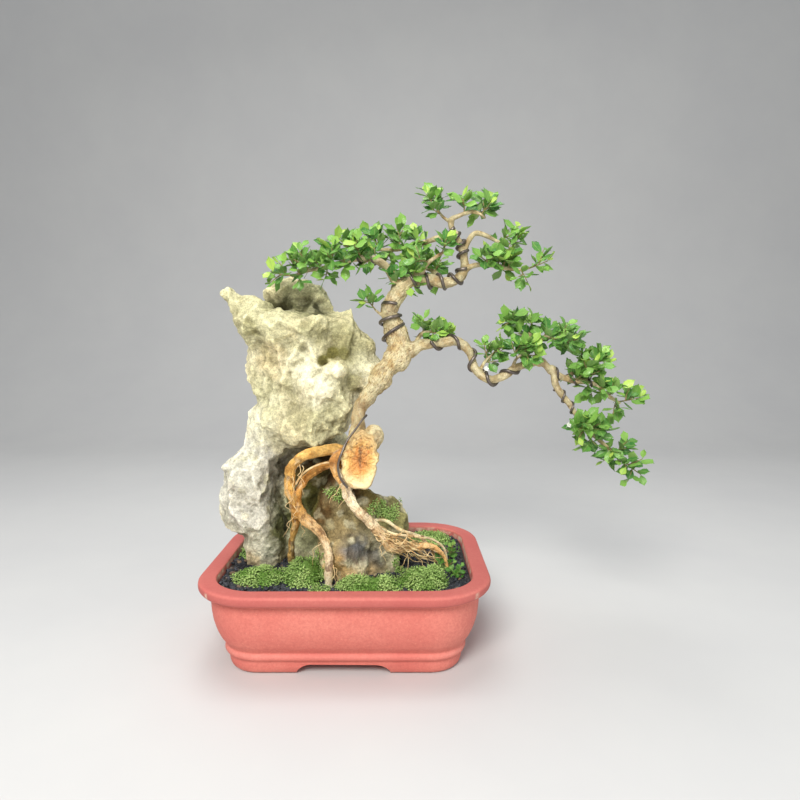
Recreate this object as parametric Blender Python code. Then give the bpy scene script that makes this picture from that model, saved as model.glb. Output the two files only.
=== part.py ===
"""A root-over-rock bonsai in a clay pot, as a Blender model in metres, +Z up.

The pot stands on z = 0. The planting (rock, tree, moss) is drawn in millimetres measured from the
middle of the pot and up from the soil, so it follows the pot when the pot's sizes change. Everything
hangs from one empty, which is moved at the end so that the origin is under the middle of the object.
"""

import math
import random

import bmesh
import bpy
from mathutils import Matrix, Vector, noise
from mathutils.bvhtree import BVHTree

MM = 0.001

# Pot
POT_LENGTH = 0.260
POT_WIDTH = 0.210
POT_HEIGHT = 0.080
CORNER_RADIUS = 0.055
CORNER_STEPS = 6
FOOT_HEIGHT = 0.010
FLOOR_THICKNESS = 0.008
RIM_WIDTH = 0.016
ARCH_WIDTH = 0.082
SIDE_ARCH_WIDTH = 0.064
ARCH_SHOULDER = 0.014
DRAIN_HOLE_RADIUS = 0.008
DRAIN_HOLE_SPACING = 0.090

# Filling
FREEBOARD = 0.007
GRAVEL_DEPTH = 0.009
MESH_SIDE = 0.030
MESH_THICKNESS = 0.0012
MESH_CELLS = 4
MESH_BAR = 0.0016
STAPLE_RADIUS = 0.0007

# Planting: the rock's own size, which the tree follows
ROCK_HEIGHT = 0.269
ROCK_WIDTH = 0.182
ROCK_BURIAL = 0.016
DRAWN_HEIGHT = 0.269
DRAWN_WIDTH = 0.182
ROCK_VOXEL = 0.005
ROCK_ROUGHNESS = 0.006
ROCK_FACES = 1500

# Tree
BRANCH_GIRTH = 1.0
WIRE_RADIUS = 0.0012
THIN_WIRE_RADIUS = 0.0008
LEAF_LENGTH = 0.0165
LEAF_WIDTH = 0.0090
LEAF_THICKNESS = 0.0007
TWIG_RADIUS = 0.0009

CLEARANCE = 0.0003
CUT_CLEARANCE = 0.0005
SOIL_CLEARANCE = 0.0024
PATH_STEP = 0.009

SOIL_TOP = POT_HEIGHT - FREEBOARD
FLOOR_TOP = FOOT_HEIGHT + FLOOR_THICKNESS
RISE = ROCK_HEIGHT / DRAWN_HEIGHT
SPREAD = ROCK_WIDTH / DRAWN_WIDTH


# ---------------------------------------------------------------- small tools


def clear_scene():
    for obj in list(bpy.data.objects):
        bpy.data.objects.remove(obj)


def material(name, colour, roughness, metallic=0.0):
    made = bpy.data.materials.new(name)
    made.use_nodes = True
    shader = made.node_tree.nodes["Principled BSDF"]
    shader.inputs["Base Color"].default_value = (*colour, 1.0)
    shader.inputs["Roughness"].default_value = roughness
    shader.inputs["Metallic"].default_value = metallic
    return made


def add_object(name, mesh, finish, helper=False):
    obj = bpy.data.objects.new(name, mesh)
    bpy.context.scene.collection.objects.link(obj)
    if finish:
        mesh.materials.append(finish)
    if helper:
        obj.hide_render = True
        obj.display_type = "WIRE"
    return obj


def mesh_of(bm, name, smooth_angle=None):
    bmesh.ops.recalc_face_normals(bm, faces=bm.faces)
    if bm.calc_volume(signed=True) < 0:
        bmesh.ops.reverse_faces(bm, faces=bm.faces)
    mesh = bpy.data.meshes.new(name)
    bm.to_mesh(mesh)
    bm.free()
    if smooth_angle is not None:
        mesh.shade_smooth()
        mesh.set_sharp_from_angle(angle=math.radians(smooth_angle))
    return mesh


def bake(obj):
    """Replaces the object's mesh by what its modifiers make of it."""
    graph = bpy.context.evaluated_depsgraph_get()
    made = bpy.data.meshes.new_from_object(obj.evaluated_get(graph))
    obj.modifiers.clear()
    obj.data = made
    return obj


def cut(obj, cutter, crossing_cutter=False):
    boolean = obj.modifiers.new("cut", "BOOLEAN")
    boolean.operation = "DIFFERENCE"
    boolean.object = cutter
    boolean.use_self = crossing_cutter
    return bake(obj)


def keep_largest_body(obj):
    """Drops the crumbs that a cut leaves beside the main body, even those touching at a point."""
    bm = bmesh.new()
    bm.from_mesh(obj.data)
    unseen, bodies = set(bm.faces), []
    while unseen:
        waiting = [unseen.pop()]
        body = []
        while waiting:
            face = waiting.pop()
            body.append(face)
            for edge in face.edges:
                for other in edge.link_faces if len(edge.link_faces) == 2 else ():
                    if other in unseen:
                        unseen.discard(other)
                        waiting.append(other)
        bodies.append(body)
    bodies.sort(key=len)
    for body in bodies[:-1]:
        bmesh.ops.delete(bm, geom=body, context="FACES")
    bm.to_mesh(obj.data)
    bm.free()
    return obj


def loft(rings, name, smooth_angle=None):
    """A closed solid through rings of equally many points, flat caps at both ends."""
    bm = bmesh.new()
    rows = [[bm.verts.new(p) for p in ring] for ring in rings]
    count = len(rows[0])
    for low, high in zip(rows, rows[1:]):
        for i in range(count):
            j = (i + 1) % count
            bm.faces.new((low[i], low[j], high[j], high[i]))
    bm.faces.new(rows[0][::-1])
    bm.faces.new(rows[-1])
    return mesh_of(bm, name, smooth_angle)


def box_mesh(name, low, high):
    bm = bmesh.new()
    bmesh.ops.create_cube(bm, size=1.0)
    size = Vector(high) - Vector(low)
    middle = (Vector(high) + Vector(low)) / 2
    bm.transform(Matrix.Translation(middle) @ Matrix.Diagonal((*size, 1.0)))
    return mesh_of(bm, name)


def smooth_path(points, step):
    """Catmull-Rom through (x, y, z, radius) points, a new point about every step metres."""
    padded = [points[0] * 2 - points[1], *points, points[-1] * 2 - points[-2]]
    path = []
    for a, b, c, d in zip(padded, padded[1:], padded[2:], padded[3:]):
        count = max(1, round((c.to_3d() - b.to_3d()).length / step))
        for i in range(count):
            t = i / count
            path.append(
                0.5
                * (
                    2 * b
                    + (c - a) * t
                    + (2 * a - 5 * b + 4 * c - d) * t**2
                    + (3 * b - a - 3 * c + d) * t**3
                )
            )
    return [*path, points[-1].copy()]


def frames_along(path):
    """(centre, across, up) at each point, turning as little as it can from one to the next."""
    centres = [p.to_3d() for p in path]
    frames, across = [], None
    for i, centre in enumerate(centres):
        before, after = centres[max(i - 1, 0)], centres[min(i + 1, len(centres) - 1)]
        along = (after - before).normalized()
        if across is None:
            across = along.orthogonal().normalized()
        across = (across - along * across.dot(along)).normalized()
        frames.append((centre, across, along.cross(across)))
    return frames


def tube_rings(path, sides, extra=0.0):
    rings = []
    for (centre, across, up), point in zip(frames_along(path), path):
        radius = point.w + extra
        turns = [2 * math.pi * k / sides for k in range(sides)]
        rings.append(
            [centre + (across * math.cos(t) + up * math.sin(t)) * radius for t in turns]
        )
    return rings


def add_tube(bm, path, sides, extra=0.0):
    rows = [[bm.verts.new(p) for p in ring] for ring in tube_rings(path, sides, extra)]
    for low, high in zip(rows, rows[1:]):
        for i in range(sides):
            j = (i + 1) % sides
            bm.faces.new((low[i], low[j], high[j], high[i]))
    bm.faces.new(rows[0][::-1])
    bm.faces.new(rows[-1])


def add_lump(bm, centre, radii, tilt=0.0, fineness=3):
    placed = (
        Matrix.Translation(centre)
        @ Matrix.Rotation(math.radians(tilt), 4, "Y")
        @ Matrix.Diagonal((*radii, 1.0))
    )
    bmesh.ops.create_icosphere(bm, subdivisions=fineness, radius=1.0, matrix=placed)


def planted(x, y, z):
    """A place in the planting: millimetres from the pot's middle, and up from the soil."""
    return Vector((x * MM * SPREAD, y * MM * SPREAD, SOIL_TOP + z * MM * RISE))


def planted_path(points, step=PATH_STEP):
    return smooth_path(
        [Vector((*planted(x, y, z), r * MM * BRANCH_GIRTH)) for x, y, z, r in points],
        step,
    )


# ---------------------------------------------------------------- pot


def outline(inset, z):
    """The pot's rounded rectangle, that far inside the rim's outer edge."""
    half_x, half_y = POT_LENGTH / 2 - inset, POT_WIDTH / 2 - inset
    radius = max(CORNER_RADIUS - inset, 0.008)
    points = []
    for corner, (sx, sy) in enumerate(((1, 1), (-1, 1), (-1, -1), (1, -1))):
        for step in range(CORNER_STEPS + 1):
            turn = math.pi / 2 * (corner + step / CORNER_STEPS)
            points.append(
                Vector(
                    (
                        sx * (half_x - radius) + radius * math.cos(turn),
                        sy * (half_y - radius) + radius * math.sin(turn),
                        z,
                    )
                )
            )
    return points


BELT_TOP = FOOT_HEIGHT + 0.0105
NECK = POT_HEIGHT - 0.012
INNER_WALL = (
    (16, 1.0), (17, 0.87), (18.5, 0.70), (22, 0.46), (28, 0.22), (34, 0.09), (40, 0.01), (44, 0.0),
)


def inner_height(share):
    return FLOOR_TOP + share * (POT_HEIGHT - 0.002 - FLOOR_TOP)


def inner_inset(z):
    """How far inside the rim's edge the inner wall stands at height z."""
    widths = [(inner_height(share), inset * MM) for inset, share in INNER_WALL]
    for (high, near), (low, far) in zip(widths, widths[1:]):
        if z >= low:
            share = min(1.0, (z - low) / (high - low))
            return far + (near - far) * share + RIM_WIDTH - 0.016
    return widths[-1][1] + RIM_WIDTH - 0.016


def pot_profile():
    """(inset, height) from the underside, out over foot, belt, wall and lip, and down inside."""
    foot = [(44, FOOT_HEIGHT), (43, 0.001), (42, 0.0), (31, 0.0), (28, 0.0012), (26, 0.004)]
    foot += [(25.5, FOOT_HEIGHT - 0.001), (25.5, FOOT_HEIGHT + 0.002)]
    belt = [(24, 3.5), (22, 5.0), (21.8, 7.2), (23.4, 8.8)]
    wall = [(23.6, 0.0), (21.5, 0.06), (17.5, 0.18), (14, 0.34), (11.8, 0.52), (10.8, 0.74)]
    wall += [(10.8, 0.90), (11.4, 1.0)]
    lip = [(9.5, 10.6), (3.5, 9.9), (1.2, 8.6), (0, 6.6), (0, 3.0), (0.9, 1.0), (2.8, 0.0)]
    edge = [(RIM_WIDTH / MM - 1.6, 0.0), (RIM_WIDTH / MM - 0.5, 0.6)]
    profile = foot
    profile += [(inset, FOOT_HEIGHT + up * MM) for inset, up in belt]
    profile += [(inset, BELT_TOP + share * (NECK - BELT_TOP)) for inset, share in wall]
    profile += [(inset, POT_HEIGHT - down * MM) for inset, down in lip + edge]
    inner = [inner_height(share) for _, share in INNER_WALL]
    return profile + [(inner_inset(z) / MM, z) for z in inner]


def arch_cutter(name, width, along_y):
    """A flat cloud-foot arch, straight through the foot ring."""
    top = width / 2 - ARCH_SHOULDER
    height = FOOT_HEIGHT - 0.0005
    half = [(width / 2, -0.002), (width / 2, 0.0)]
    for step in range(1, 5):
        turn = math.pi / 2 * step / 4
        half.append((top + ARCH_SHOULDER * math.cos(turn), height * math.sin(turn)))
    reach = 0.7 * max(POT_LENGTH, POT_WIDTH)
    section = half + [(-x, z) for x, z in reversed(half)]
    rings = [[Vector((x, side * reach, z)) for x, z in section] for side in (-1, 1)]
    if not along_y:
        rings = [[Vector((p.y, p.x, p.z)) for p in ring] for ring in rings]
    return add_object(name, loft(rings, name), None, helper=True)


def drain_places():
    return [
        ("left", Vector((-DRAIN_HOLE_SPACING / 2, 0, 0))),
        ("right", Vector((DRAIN_HOLE_SPACING / 2, 0, 0))),
    ]


def build_pot(finish):
    rings = [outline(inset * MM, z) for inset, z in pot_profile()]
    pot = add_object("pot", loft(rings, "pot", 35), finish)
    cut(pot, arch_cutter("arch_front_back", ARCH_WIDTH, True))
    cut(pot, arch_cutter("arch_sides", SIDE_ARCH_WIDTH, False))
    for side, place in drain_places():
        bm = bmesh.new()
        bmesh.ops.create_cone(
            bm,
            cap_ends=True,
            segments=20,
            radius1=DRAIN_HOLE_RADIUS,
            radius2=DRAIN_HOLE_RADIUS,
            depth=4 * FLOOR_THICKNESS,
            matrix=Matrix.Translation(place + Vector((0, 0, FLOOR_TOP))),
        )
        name = "drain_hole_" + side
        cut(pot, add_object(name, mesh_of(bm, name), None, helper=True))
    return pot


# ---------------------------------------------------------------- filling


def filling(name, low, high, finish):
    """A block that fills the pot from one height to another, clear of the wall."""
    steps = 4
    rings = []
    for i in range(steps + 1):
        z = low + (high - low) * i / steps
        rings.append(outline(inner_inset(z) + CLEARANCE * 2, z))
    return add_object(name, loft(rings, name, 30), finish)


def build_drain_mesh(side, place, finish):
    """A square of plastic mesh over the hole, its bars joined into one lattice."""
    cell = (MESH_SIDE - MESH_BAR) / MESH_CELLS
    low = FLOOR_TOP + CLEARANCE
    edges = []
    for i in range(MESH_CELLS + 1):
        start = -MESH_SIDE / 2 + i * cell
        edges += [start, start + MESH_BAR]
    bm = bmesh.new()
    grid = [
        [[bm.verts.new(place + Vector((x, y, low + dz))) for y in edges] for x in edges]
        for dz in (0.0, MESH_THICKNESS)
    ]
    last = len(edges) - 1
    solid = [
        (i, j) for i in range(last) for j in range(last) if i % 2 == 0 or j % 2 == 0
    ]
    cells = set(solid)
    for i, j in solid:
        for layer in grid:
            corners = (layer[i][j], layer[i + 1][j], layer[i + 1][j + 1], layer[i][j + 1])
            bm.faces.new(corners)
        sides = (((i - 1, j), (i, j), (i, j + 1)), ((i + 1, j), (i + 1, j), (i + 1, j + 1)))
        sides += (((i, j - 1), (i, j), (i + 1, j)), ((i, j + 1), (i, j + 1), (i + 1, j + 1)))
        for neighbour, a, b in sides:
            if neighbour not in cells:
                lower = [grid[0][a[0]][a[1]], grid[0][b[0]][b[1]]]
                upper = [grid[1][b[0]][b[1]], grid[1][a[0]][a[1]]]
                bm.faces.new(lower + upper)
    name = "drain_mesh_" + side
    return add_object(name, mesh_of(bm, name), finish)


def build_staple(side, place, finish):
    """Wire bent over the mesh and down through the hole, its ends turned out under the floor."""
    cell = (MESH_SIDE - MESH_BAR) / MESH_CELLS
    leg = cell / 2
    top = FLOOR_TOP + CLEARANCE * 2 + MESH_THICKNESS + STAPLE_RADIUS
    under = FOOT_HEIGHT - CLEARANCE - STAPLE_RADIUS
    reach = DRAIN_HOLE_RADIUS + 0.006
    half = [(leg, top), (leg + 0.0003, FLOOR_TOP - 0.002), (leg + 0.0006, under), (reach, under)]
    line = [(-x, z) for x, z in reversed(half)] + half
    curve = bpy.data.curves.new("drain_staple_" + side, "CURVE")
    curve.dimensions = "3D"
    curve.bevel_depth = STAPLE_RADIUS
    curve.bevel_resolution = 1
    curve.use_fill_caps = True
    spline = curve.splines.new("POLY")
    spline.points.add(len(line) - 1)
    for point, (x, z) in zip(spline.points, line):
        point.co = (place.x + x, place.y + cell / 2, z, 1.0)
    return add_object("drain_staple_" + side, curve, finish)


def build_gravel(finish):
    gravel = filling("drainage_gravel", FLOOR_TOP + CLEARANCE, FLOOR_TOP + GRAVEL_DEPTH, finish)
    margin = 0.001
    for side, place in drain_places():
        half = MESH_SIDE / 2 + margin
        low = place + Vector((-half, -half, 0))
        top = FLOOR_TOP + MESH_THICKNESS + 2 * STAPLE_RADIUS + margin + CLEARANCE
        high = place + Vector((half, half, top))
        name = "mesh_space_" + side
        cut(gravel, add_object(name, box_mesh(name, low, high), None, helper=True))
    return gravel


# ---------------------------------------------------------------- rock

# (x, y, z) centre and (x, y, z) radii in millimetres, then the tilt in degrees about Y.
ROCK_LUMPS = (
    ((-42, 6, 197), (56, 40, 60), 0),
    ((-96, -6, 243), (22, 15, 17), -25),
    ((-111, -7, 256), (10, 9, 11), 0),
    ((-58, -20, 238), (42, 17, 21), 4),
    ((-50, 26, 245), (27, 19, 24), 0),
    ((-8, 4, 217), (23, 28, 27), 20),
    ((10, 2, 212), (10, 13, 12), 0),
    ((9, -2, 182), (23, 25, 26), 0),
    ((-42, -6, 143), (48, 35, 32), 0),
    ((-30, -30, 168), (28, 12, 20), 0),
    ((-12, -26, 190), (16, 12, 11), 15),
    ((-76, 0, 127), (25, 29, 28), 0),
    ((-93, -8, 86), (25, 27, 30), 8),
    ((-97, -8, 55), (28, 25, 26), 0),
    ((-82, -6, 18), (20, 21, 34), 0),
    ((-36, 24, 76), (48, 24, 60), 0),
    ((-28, 26, 12), (56, 30, 34), 0),
    ((8, -10, 32), (37, 34, 44), 30),
    ((-1, -32, 8), (24, 25, 36), 0),
    ((36, -4, 24), (23, 26, 32), 20),
    ((43, 2, 46), (13, 16, 17), 0),
)


def weathered(point, size, seed):
    """How far the rock's surface stands in or out at a point: big waves and smaller pits."""
    place = point / size + Vector((seed, 3.1, 7.7))
    wave = noise.fractal(place, 1.0, 2.0, 3, noise_basis="PERLIN_ORIGINAL")
    pit = noise.noise(place * 2.7, noise_basis="VORONOI_F1")
    return 0.9 * wave + 0.5 * (pit - 0.4)


def one_skin(obj):
    """Joins everything that crosses in the object under a single closed skin."""
    remesh = obj.modifiers.new("one_skin", "REMESH")
    remesh.mode = "VOXEL"
    remesh.voxel_size = ROCK_VOXEL
    return bake(obj)


def build_rock(finish):
    """The rock, and a slightly larger copy that cuts the soil and moss away round it."""
    bm = bmesh.new()
    for centre, radii, tilt in ROCK_LUMPS:
        size = Vector(radii) * MM
        scaled = (size.x * SPREAD, size.y * SPREAD, size.z * RISE)
        add_lump(bm, planted(*centre), scaled, tilt)
    rock = add_object("rock", mesh_of(bm, "rock"), finish)
    one_skin(rock)
    smooth = rock.modifiers.new("softer_joins", "SMOOTH")
    smooth.iterations = 3
    bake(rock)
    normals = [v.normal.copy() for v in rock.data.vertices]
    for vert, normal in zip(rock.data.vertices, normals):
        bare = max(0.0, min(1.0, (vert.co.z - SOIL_TOP) / ROCK_BURIAL))
        vert.co += normal * ROCK_ROUGHNESS * bare * weathered(vert.co, 0.032, 1.3)
    one_skin(rock)
    room = one_skin(swollen_copy(rock, "rock_room", SOIL_CLEARANCE))
    for obj in (rock, room):
        decimate = obj.modifiers.new("fewer_faces", "DECIMATE")
        decimate.ratio = ROCK_FACES / (2 * len(obj.data.polygons))
        bake(obj)
    base = SOIL_TOP - ROCK_BURIAL
    name = "under_rock"
    far = POT_LENGTH
    trim = box_mesh(name, (-far, -far, base - far), (far, far, base))
    cut(rock, add_object(name, trim, None, helper=True))
    cut(rock, add_object("pot_wall_space", pot_wall_space(), None, helper=True))
    return keep_largest_body(rock), room


def pot_wall_space():
    """The pot's wall and all round it, up to just over the rim: nothing planted reaches into it."""
    top = POT_HEIGHT + CLEARANCE
    heights = [0.0, SOIL_TOP - ROCK_BURIAL, POT_HEIGHT - 0.004, top]
    wide = [outline(-0.06, z) for z in (top, 0.0)]
    inner = [outline(inner_inset(z) + CUT_CLEARANCE, z) for z in heights]
    bm = bmesh.new()
    rows = [[bm.verts.new(p) for p in ring] for ring in inner + wide]
    count = len(rows[0])
    for k, low in enumerate(rows):
        high = rows[(k + 1) % len(rows)]
        for i in range(count):
            j = (i + 1) % count
            bm.faces.new((low[i], low[j], high[j], high[i]))
    return mesh_of(bm, "pot_wall_space")


def swollen_copy(obj, name, amount):
    """A hidden copy whose surface stands out by amount, used to cut room for the original."""
    mesh = obj.data.copy()
    normals = [v.normal.copy() for v in mesh.vertices]
    for vert, normal in zip(mesh.vertices, normals):
        vert.co += normal * amount
    return add_object(name, mesh, None, helper=True)


# ---------------------------------------------------------------- tree

# Centre lines as (x, y, z, radius) in millimetres, from the thick end to the thin one.
TRUNK = (
    (10, -36, 121, 10), (11, -30, 136, 10), (14, -25, 152, 9.5), (23, -21, 166, 10.5),
    (33, -18, 181, 11.5), (43, -15, 194, 12.5), (49, -12, 207, 12), (45, -11, 219, 10.5),
    (41, -10, 229, 9), (40, -10, 239, 8), (43, -9, 249, 7.5), (47, -9, 259, 7),
    (55, -9, 267, 6.5), (67, -9, 270, 6), (82, -9, 269, 6.2), (95, -8, 269, 6),
    (105, -8, 274, 5.4), (108, -8, 283, 4.8), (107, -8, 293, 4.2), (105, -7, 303, 3.8),
    (100, -7, 311, 3.4), (96, -7, 318, 3), (96, -7, 325, 2.6), (104, -7, 329, 2.2),
    (114, -8, 332, 1.9), (122, -8, 330, 1.6), (127, -8, 326, 1.2),
)
CASCADE = (
    (48, -13, 203, 8.5), (60, -13, 206, 7.5), (72, -14, 211, 6), (89, -15, 213, 5.2),
    (103, -16, 214, 4.8), (113, -16, 204, 4.6), (118, -17, 190, 4.5), (130, -18, 179, 4.5),
    (143, -18, 181, 4.3), (154, -19, 189, 4.2), (168, -19, 193, 4.2), (178, -20, 196, 4.2),
    (186, -20, 189, 4), (197, -20, 182, 3.6), (211, -20, 178, 3), (225, -20, 176, 2.5),
    (240, -20, 165, 2), (252, -20, 157, 1.3),
)
BRANCHES = {
    "trunk": TRUNK,
    "cascade": CASCADE,
    "fork": (
        (188, -20, 188, 3.2), (193, -22, 172, 3), (203, -24, 158, 2.7), (214, -25, 143, 2.3),
        (228, -25, 127, 2), (243, -24, 115, 1.6), (257, -23, 104, 1.1),
    ),
    "left_low": (
        (47, -9, 262, 4.6), (42, -8, 273, 4), (35, -8, 283, 3.6), (22, -9, 289, 3.2),
        (3, -10, 288, 2.8), (-16, -11, 282, 2.3), (-36, -12, 278, 1.8), (-50, -13, 273, 1.2),
    ),
    "left_high": (
        (100, -7, 311, 2.8), (86, -2, 310, 2.7), (74, 3, 307, 2.4), (50, 8, 301, 2),
        (26, 11, 300, 1.6), (6, 12, 298, 1.1),
    ),
    "centre": ((67, -9, 271, 3), (71, -15, 281, 2.4), (80, -20, 289, 1.8), (88, -22, 294, 1.2)),
    "back": ((84, -9, 269, 3.2), (84, 8, 276, 2.6), (79, 24, 283, 2), (70, 38, 286, 1.3)),
    "right_high": (
        (107, -8, 295, 2.8), (112, -7, 307, 2.5), (118, -6, 313, 2.3), (127, -6, 311, 2),
        (138, -6, 306, 1.7), (149, -6, 302, 1.1),
    ),
    "right_low": (
        (107, -8, 278, 3), (115, -12, 283, 2.6), (128, -15, 284, 2.2), (146, -17, 280, 1.8),
        (162, -18, 278, 1.1),
    ),
    "apex_left": ((96, -7, 323, 2), (89, -6, 327, 1.5), (83, -5, 334, 1)),
    "trunk_sprig": ((41, -10, 232, 1.8), (31, -12, 239, 1.3), (26, -14, 243, 1)),
    "base_sprig": ((62, -13, 207, 2.6), (68, -9, 220, 2), (80, -7, 223, 1.3)),
    "bend_sprig": ((122, -17, 186, 2), (128, -12, 196, 1.5), (135, -10, 202, 1)),
    "middle_sprig": ((152, -19, 188, 2), (154, -24, 197, 1.5), (160, -26, 203, 1)),
    "upper": ((177, -20, 195, 3), (173, -15, 211, 2.5), (169, -11, 222, 2), (160, -8, 231, 1.2)),
    "upper_right": ((173, -15, 211, 2), (182, -21, 222, 1.7), (193, -25, 226, 1.1)),
    "shoulder": ((204, -20, 180, 2.4), (213, -13, 191, 1.9), (226, -10, 193, 1.1)),
}
# Roots. Where a row says True, the root lies on the rock's face, which gives its y.
ROOTS = {
    "left": (
        (6, -38, 114, 5, False), (-6, -42, 116, 5.2, False), (-19, -46, 117, 5, False),
        (-35, -48, 114, 4.8, False), (-45, -47, 105, 4.6, False), (-49, -45, 95, 4.4, False),
        (-49, -43, 80, 4.4, False), (-46, -42, 66, 4.6, False), (-43, -43, 57, 4.4, False),
    ),
    "left_leg": (
        (-45, -42, 64, 3.6, False), (-47, -36, 47, 3.3, False), (-52, -26, 29, 3.2, False),
        (-54, -18, 14, 3, False), (-55, -12, 2, 2.8, False), (-55, -11, -10, 2.4, False),
    ),
    "front": (
        (-43, -42, 66, 4.6, False), (-38, -44, 56, 5, False), (-30, -48, 50, 4.6, False),
        (-21, -53, 42, 4.4, False), (-15, -58, 33, 4.2, False), (-13, -62, 24, 4.2, False),
        (-13, -65, 14, 4, False), (-13, -66, 0, 3.8, False), (-13, -65, -11, 3.2, False),
    ),
    "inner": (
        (6, -36, 103, 4.2, False), (-8, -38, 104, 4.2, False), (-21, -38, 101, 4, False),
        (-31, -38, 95, 3.9, False), (-38, -38, 88, 3.8, False), (-42, -39, 80, 3.8, False),
        (-43, -41, 71, 3.8, False), (-42, -42, 63, 3.6, False),
    ),
    "right": (
        (-2, -40, 111, 5.6, False), (-9, -46, 102, 5.4, False), (-4, -47, 90, 5.2, False),
        (1, -46, 80, 5.2, True), (7, -46, 71, 5.2, True), (14, -46, 61, 5.2, True),
        (22, -46, 53, 5, True), (29, -45, 46, 4.8, True), (33, -43, 36, 4.4, True),
        (38, -41, 28, 4.2, True), (46, -38, 24, 4, False), (56, -36, 24, 3.4, False),
        (67, -32, 26, 3, False), (77, -29, 25, 2.6, False), (86, -27, 19, 2.2, False),
        (92, -25, 9, 1.8, False), (94, -25, -8, 1.5, False),
    ),
    "fine_high": (
        (26, -45, 50, 1.9, True), (36, -40, 47, 1.7, True), (48, -34, 42, 1.6, False),
        (60, -28, 36, 1.5, False), (71, -23, 31, 1.4, False), (82, -18, 26, 1.4, False),
        (91, -14, 17, 1.3, False), (94, -12, 4, 1.2, False), (94, -12, -8, 1.2, False),
    ),
    "fine_low": (
        (30, -45, 44, 1.6, True), (42, -42, 41, 1.4, False), (54, -37, 37, 1.3, False),
        (67, -30, 33, 1.3, False), (77, -22, 22, 1.3, False), (82, -18, 8, 1.2, False),
        (82, -18, -8, 1.2, False),
    ),
}
BURL = (((13, -43, 110), (16.5, 9, 25), 0), ((24, -39, 128), (11, 7, 14), 25))
HUGS_ROCK = 0.35
GRIPPED_BY_ROCK = 8


def sides_for(points):
    return 7 if max(p[3] for p in points) > 3.5 else 5


def root_paths(rock_faces):
    """The roots' paths, with the stretches on the rock brought to its face."""
    paths = {}
    for name, points in ROOTS.items():
        row = []
        for x, y, z, r, on_rock in points:
            place = planted(x, y, z)
            if on_rock:
                start = Vector((place.x, -POT_WIDTH, place.z))
                hit = rock_faces.ray_cast(start, Vector((0, 1, 0)))[0]
                if hit:
                    place.y = hit.y - HUGS_ROCK * r * MM * BRANCH_GIRTH
            row.append(Vector((*place, r * MM * BRANCH_GIRTH)))
        paths[name] = smooth_path(row, PATH_STEP)
    return paths


def tree_mesh(name, roots, extra=0.0, lower_part_only=False):
    """All the wood as overlapping tubes. The lower part alone is what meets rock and soil."""
    bm = bmesh.new()
    for root, path in roots.items():
        add_tube(bm, path, sides_for(ROOTS[root]), extra)
    for branch, points in BRANCHES.items():
        if not lower_part_only:
            add_tube(bm, planted_path(points), sides_for(points), extra)
    if lower_part_only:
        add_tube(bm, planted_path(TRUNK[:GRIPPED_BY_ROCK]), sides_for(TRUNK), extra)
    return mesh_of(bm, name, 40)


def burl_mesh(name, extra=0.0):
    bm = bmesh.new()
    for centre, radii, tilt in BURL:
        grown = [r * MM * BRANCH_GIRTH + extra for r in radii]
        add_lump(bm, planted(*centre), grown, tilt, fineness=2)
    return mesh_of(bm, name, 40)


def build_tree(roots, finish):
    tree = add_object("tree", tree_mesh("tree", roots), finish)
    burl = add_object("burl", burl_mesh("burl"), None, helper=True)
    union = tree.modifiers.new("grown_together", "BOOLEAN")
    union.operation = "UNION"
    union.object = burl
    union.use_self = True
    return keep_largest_body(bake(tree))


# ---------------------------------------------------------------- moss

# (x, y) middle, (x, y) reach and height in millimetres, turn in degrees
MOSS = {
    "moss_left": (-101, 22, 9, 26, 7, 6),
    "moss_front_left": (-78, -50, 22, 17, 8, -12),
    "moss_centre": (-37, -44, 15, 22, 17, 0),
    "moss_front_right": (22, -74, 27, 11, 9, 0),
    "moss_right": (72, -62, 16, 17, 13, 10),
    "moss_right_back": (80, 58, 22, 22, 7, 0),
    "moss_back": (8, 72, 42, 13, 7, 0),
}


def build_moss(name, place, finish, rooms):
    x, y, reach_x, reach_y, height, turn = place
    random.seed(name)
    edge = 0.001
    phase = random.uniform(0, 9)
    rings = []
    steps, levels = 16, ((1.0, 0.0), (1.03, 0.3), (0.86, 0.72), (0.5, 1.0))
    for spread, rise in levels:
        ring = []
        for k in range(steps):
            angle = 2 * math.pi * k / steps
            wobble = 1 + 0.12 * math.sin(3 * angle + phase) + 0.08 * math.sin(5 * angle)
            flat = Vector((reach_x * math.cos(angle), reach_y * math.sin(angle), 0))
            flat = Matrix.Rotation(math.radians(turn), 3, "Z") @ flat * wobble * spread
            top = planted(x + flat.x, y + flat.y, 0)
            lift = rise * height * MM * (1 + 0.15 * math.sin(4 * angle + phase))
            limit_x = POT_LENGTH / 2 - inner_inset(SOIL_TOP) - edge
            limit_y = POT_WIDTH / 2 - inner_inset(SOIL_TOP) - edge
            top.x = max(-limit_x, min(limit_x, top.x))
            top.y = max(-limit_y, min(limit_y, top.y))
            top.z = SOIL_TOP + CLEARANCE + lift
            ring.append(top)
        rings.append(ring)
    moss = add_object(name, loft(rings, name, 50), finish)
    for room in rooms:
        cut(moss, room, crossing_cutter=True)
    return keep_largest_body(moss)


# ---------------------------------------------------------------- wires


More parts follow.
